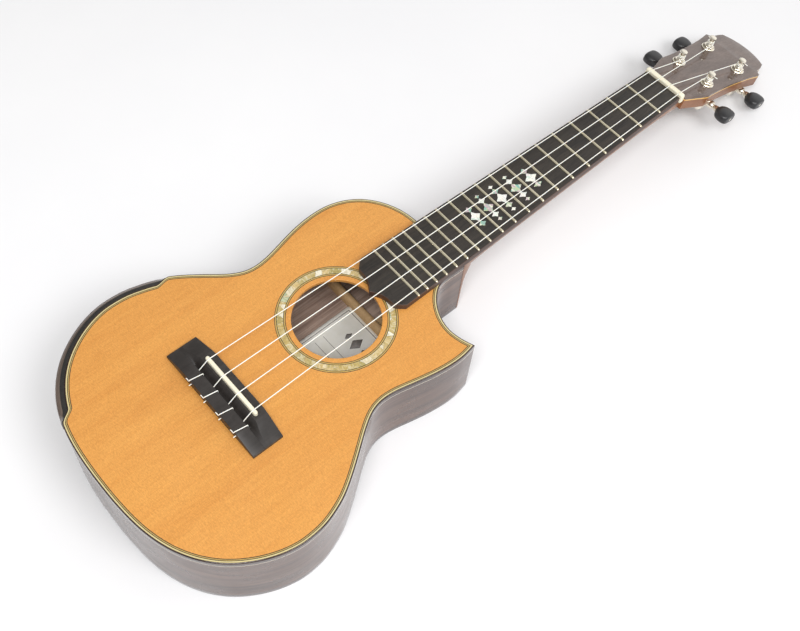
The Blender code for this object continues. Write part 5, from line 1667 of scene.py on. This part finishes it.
def head_point(x, along, height):
    """A point given on the headstock, in the playing frame."""
    cos, sin = math.cos(HEAD_TILT), math.sin(HEAD_TILT)
    return (x, HEAD_START[0] + along * cos + height * sin, HEAD_START[1] - along * sin + height * cos)


def tube(route, radius, count=14):
    """A round cord along a route, carried without twist, each end drawn in to a small cap."""
    cap, drawn_in = 0.12, 0.35
    line = np.array(route, float)
    line = line[np.concatenate([[True], np.linalg.norm(np.diff(line, axis=0), axis=1) > 1e-4])]
    steps = np.diff(line, axis=0)
    steps /= np.linalg.norm(steps, axis=1)[:, None]
    along = np.concatenate([steps[:1], steps[:-1] + steps[1:], steps[-1:]])
    along /= np.linalg.norm(along, axis=1)[:, None]
    side = np.cross(along[0], (0.3, 0.2, 1.0))
    last = len(line) - 1
    stations = []
    for i, (place, way) in enumerate(zip(line, along)):
        side = side - way * side.dot(way)
        side /= np.linalg.norm(side)
        other = np.cross(way, side)
        rounds = [(place, radius)]
        if i == 0:
            rounds.insert(0, (place - way * cap, drawn_in * radius))
        elif i == last:
            rounds.append((place + way * cap, drawn_in * radius))
        for centre, wide in rounds:
            stations.append([centre + wide * (side * c + other * s) for c, s in circle(0.0, 0.0, 1.0, count)])
    cord = Surface()
    cord.loft(stations)
    return cord


def string_route(number, radius, pitch):
    """The string's middle line, from its tie on the bridge over saddle and nut to the turns on its post."""
    nut_x = NUT_X[number]
    x = SADDLE_X[number]
    post = POSTS[number]
    hole, crest, slot = TIE_HOLE_Z, STRING_SADDLE_Z, STRING_NUT_Z
    top = BRIDGE_TOP + radius + 0.05
    rear = BRIDGE_REAR - radius - 0.1
    face = TIE_FRONT + radius + 0.1
    tied = x + TIE_STEP
    over = tied - 1.5
    side = top - 1.15
    knot = [
        (tied, rear - 1.5, hole - 0.1), (tied, rear + 1.5, hole), (tied, face - 1.2, hole),
        (tied, face - 0.3, hole + 0.15), (tied, face, hole + 0.8), (tied, face, top - 0.7),
        (tied, face - 0.25, top - 0.12), (tied - 0.05, face - 0.9, top), (over + 0.15, rear + 1.4, top),
        (over, rear + 0.5, top - 0.05), (over - 0.1, rear + 0.05, top - 0.45), (over - 0.5, rear - 0.05, side),
        (over - 1.2, rear, side - 0.05), (x + 0.9, rear, side), (x + 0.1, rear - 0.02, side - 0.35),
        (x, rear, hole + 0.7), (x, rear + 0.25, hole + 0.15), (x, rear + 1.0, hole), (x, TIE_FRONT + 0.2, hole),
    ]
    points = [tuple(p) for p in smooth_curve(knot, 4)]
    points += [
        (x, TIE_FRONT + 0.8, hole + 0.3), (x, SADDLE_Y - 2.0, crest - 0.75), (x, SADDLE_Y - 1.1, crest - 0.28),
        (x, SADDLE_Y - 0.4, crest - 0.03), (x, SADDLE_Y + 0.4, crest), (x, SADDLE_Y + 1.0, crest),
        (nut_x, 1.0, slot), (nut_x, 2.2, slot), (nut_x, 2.7, slot - 0.02),
    ]
    dy = 2.7 - HEAD_START[0]
    dz = slot - HEAD_START[1]
    gap = Vector((nut_x, dy * math.cos(HEAD_TILT) - dz * math.sin(HEAD_TILT))) - Vector(post)
    spin = 1.0 if post[0] < 0 else -1.0
    first = math.atan2(gap.y, gap.x) + spin * math.acos(WIND_R / gap.length)
    winding = [(turn, 0.0) for turn in steps_of(TURNS, round(TURNS * 40))]
    for turn, reach in [*winding, *[(TURNS, reach) for reach in (0.8, 2.4, 5.0)]]:
        angle = first + spin * 2 * math.pi * turn
        across = post[0] + WIND_R * math.cos(angle) - spin * reach * math.sin(angle)
        along = post[1] + WIND_R * math.sin(angle) + spin * reach * math.cos(angle)
        points.append(head_point(across, along, FIRST_TURN_H + pitch * turn + 0.06 * reach))
    return points


class BuildStrings(bpy.types.Operator):
    """The four strings, tied at the bridge and wound on their posts"""

    bl_idname = "ukulele.strings"
    bl_label = "Strings"

    def execute(self, context):
        strings = context.scene.ukulele_strings
        radius = strings.radius / MM
        for number in range(4):
            cord = tube(string_route(number, radius, strings.turn_pitch / MM), radius)
            names = [f"string_{number + 1}"]
            make(f"nylon_{number + 1}", cord, ["string nylon"], stands_for=names, smooth=70.0)
        return {"FINISHED"}


# Surroundings
CAMERA_AT = (300.04, -598.82, 656.87)
CAMERA_RIGHT = (0.65702976, 0.75136188, 0.0613777)
CAMERA_DOWN = (0.66596668, -0.54034219, -0.51431382)
CAMERA_AHEAD = (-0.35327083, 0.37879499, -0.85540287)
CAMERA_LENS = 50.1


class BuildStage(bpy.types.Operator):
    """The pale floor, the lamps and the camera"""

    bl_idname = "ukulele.stage"
    bl_label = "Stage"

    def add_lamp(self, name, place, target, across, power):
        data = bpy.data.lights.new(name, "AREA")
        data.shape = "DISK"
        data.size = across
        data.energy = power
        lamp = bpy.data.objects.new(name, data)
        lamp.location = place
        lamp.rotation_euler = (Vector(target) - Vector(place)).to_track_quat("-Z", "Y").to_euler()
        bpy.context.scene.collection.objects.link(lamp)

    def execute(self, context):
        scene = context.scene
        mesh = bpy.data.meshes.new("floor_sheet")
        reach = 6.0
        corners = [(-reach, -reach, 0.0), (reach, -reach, 0.0), (reach, reach, 0.0), (-reach, reach, 0.0)]
        mesh.from_pydata(corners, [], [(0, 1, 2, 3)])
        mesh.materials.append(finish_named("floor cloth"))
        floor = bpy.data.objects.new("floor_sheet", mesh)
        scene.collection.objects.link(floor)

        world = bpy.data.worlds.new("soft_room")
        world.use_nodes = True
        tree = world.node_tree
        sky = tree.nodes["Background"]
        sky.inputs["Color"].default_value = (1.0, 0.992, 0.98, 1.0)
        parts = tree.nodes.new("ShaderNodeSeparateXYZ")
        join(tree, tree.nodes.new("ShaderNodeTexCoord").outputs["Generated"], parts.inputs[0])
        rise = ranged(tree, parts.outputs[2], 0.0, 0.75, 0.36, 0.56)
        ahead = maths(tree, "POWER", maths(tree, "MAXIMUM", parts.outputs[1], 0.0), 2.0)
        rise = maths(tree, "MULTIPLY_ADD", ahead, 0.8, rise)
        rise = maths(tree, "MULTIPLY_ADD", parts.outputs[0], 0.2, rise)
        seen = tree.nodes.new("ShaderNodeLightPath").outputs["Is Camera Ray"]
        hidden = maths(tree, "MULTIPLY", rise, maths(tree, "SUBTRACT", 1.0, seen))
        join(tree, maths(tree, "MULTIPLY_ADD", seen, 0.86, hidden), sky.inputs["Strength"])
        scene.world = world
        self.add_lamp("key_lamp", (1.1, 0.0, 1.45), (0.0, 0.0, 0.0), 0.8, 13.0)
        self.add_lamp("camera_lamp", (0.4, -0.6, 1.3), (0.0, -0.1, 0.0), 0.5, 9.0)

        data = bpy.data.cameras.new("photo_camera")
        data.lens = CAMERA_LENS
        data.sensor_width = 36.0
        camera = bpy.data.objects.new("photo_camera", data)
        scene.collection.objects.link(camera)
        turn = Matrix((CAMERA_RIGHT, [-v for v in CAMERA_DOWN], [-v for v in CAMERA_AHEAD])).transposed().to_4x4()
        camera.matrix_world = PLAY @ Matrix.Translation(Vector(CAMERA_AT) * MM) @ turn
        scene.camera = camera
        scene.view_settings.view_transform = "Standard"
        return {"FINISHED"}


OPERATORS = (
    BuildSoundboard, BuildRosette, BuildTopTrim, BuildBack, BuildSides, BuildArmRest, BuildInside, BuildNeck,
    BuildFretboard, BuildFrets, BuildNut, BuildBridge, BuildTuners, BuildStrings, BuildStage,
)
SETTINGS = {
    "ukulele_body": BodySizes, "ukulele_neck": NeckSizes, "ukulele_strings": StringSizes, "ukulele_finishes": Finishes,
}


class UkulelePanel(bpy.types.Panel):
    """Sizes, colours and the builders of the ukulele"""

    bl_idname = "VIEW3D_PT_ukulele"
    bl_label = "Tenor Ukulele"
    bl_space_type = "VIEW_3D"
    bl_region_type = "UI"
    bl_category = "Ukulele"

    def draw(self, context):
        for name in SETTINGS:
            group = getattr(context.scene, name)
            box = self.layout.box()
            for field in group.__annotations__:
                box.prop(group, field)
        column = self.layout.column(align=True)
        for operator in OPERATORS:
            column.operator(operator.bl_idname)


def register():
    for kind in (*SETTINGS.values(), *OPERATORS, UkulelePanel):
        bpy.utils.register_class(kind)
    for name, kind in SETTINGS.items():
        setattr(bpy.types.Scene, name, bpy.props.PointerProperty(type=kind))


def unregister():
    for name in SETTINGS:
        delattr(bpy.types.Scene, name)
    for kind in (UkulelePanel, *OPERATORS[::-1], *SETTINGS.values()):
        bpy.utils.unregister_class(kind)


def main():
    register()
    for step in (
        bpy.ops.ukulele.soundboard, bpy.ops.ukulele.rosette, bpy.ops.ukulele.top_trim, bpy.ops.ukulele.back,
        bpy.ops.ukulele.sides, bpy.ops.ukulele.arm_rest, bpy.ops.ukulele.inside, bpy.ops.ukulele.neck,
        bpy.ops.ukulele.fretboard, bpy.ops.ukulele.frets, bpy.ops.ukulele.nut, bpy.ops.ukulele.bridge,
        bpy.ops.ukulele.tuners, bpy.ops.ukulele.strings, bpy.ops.ukulele.stage,
    ):
        step()
    bpy.context.view_layer.update()


if __name__ == "__main__":
    main()
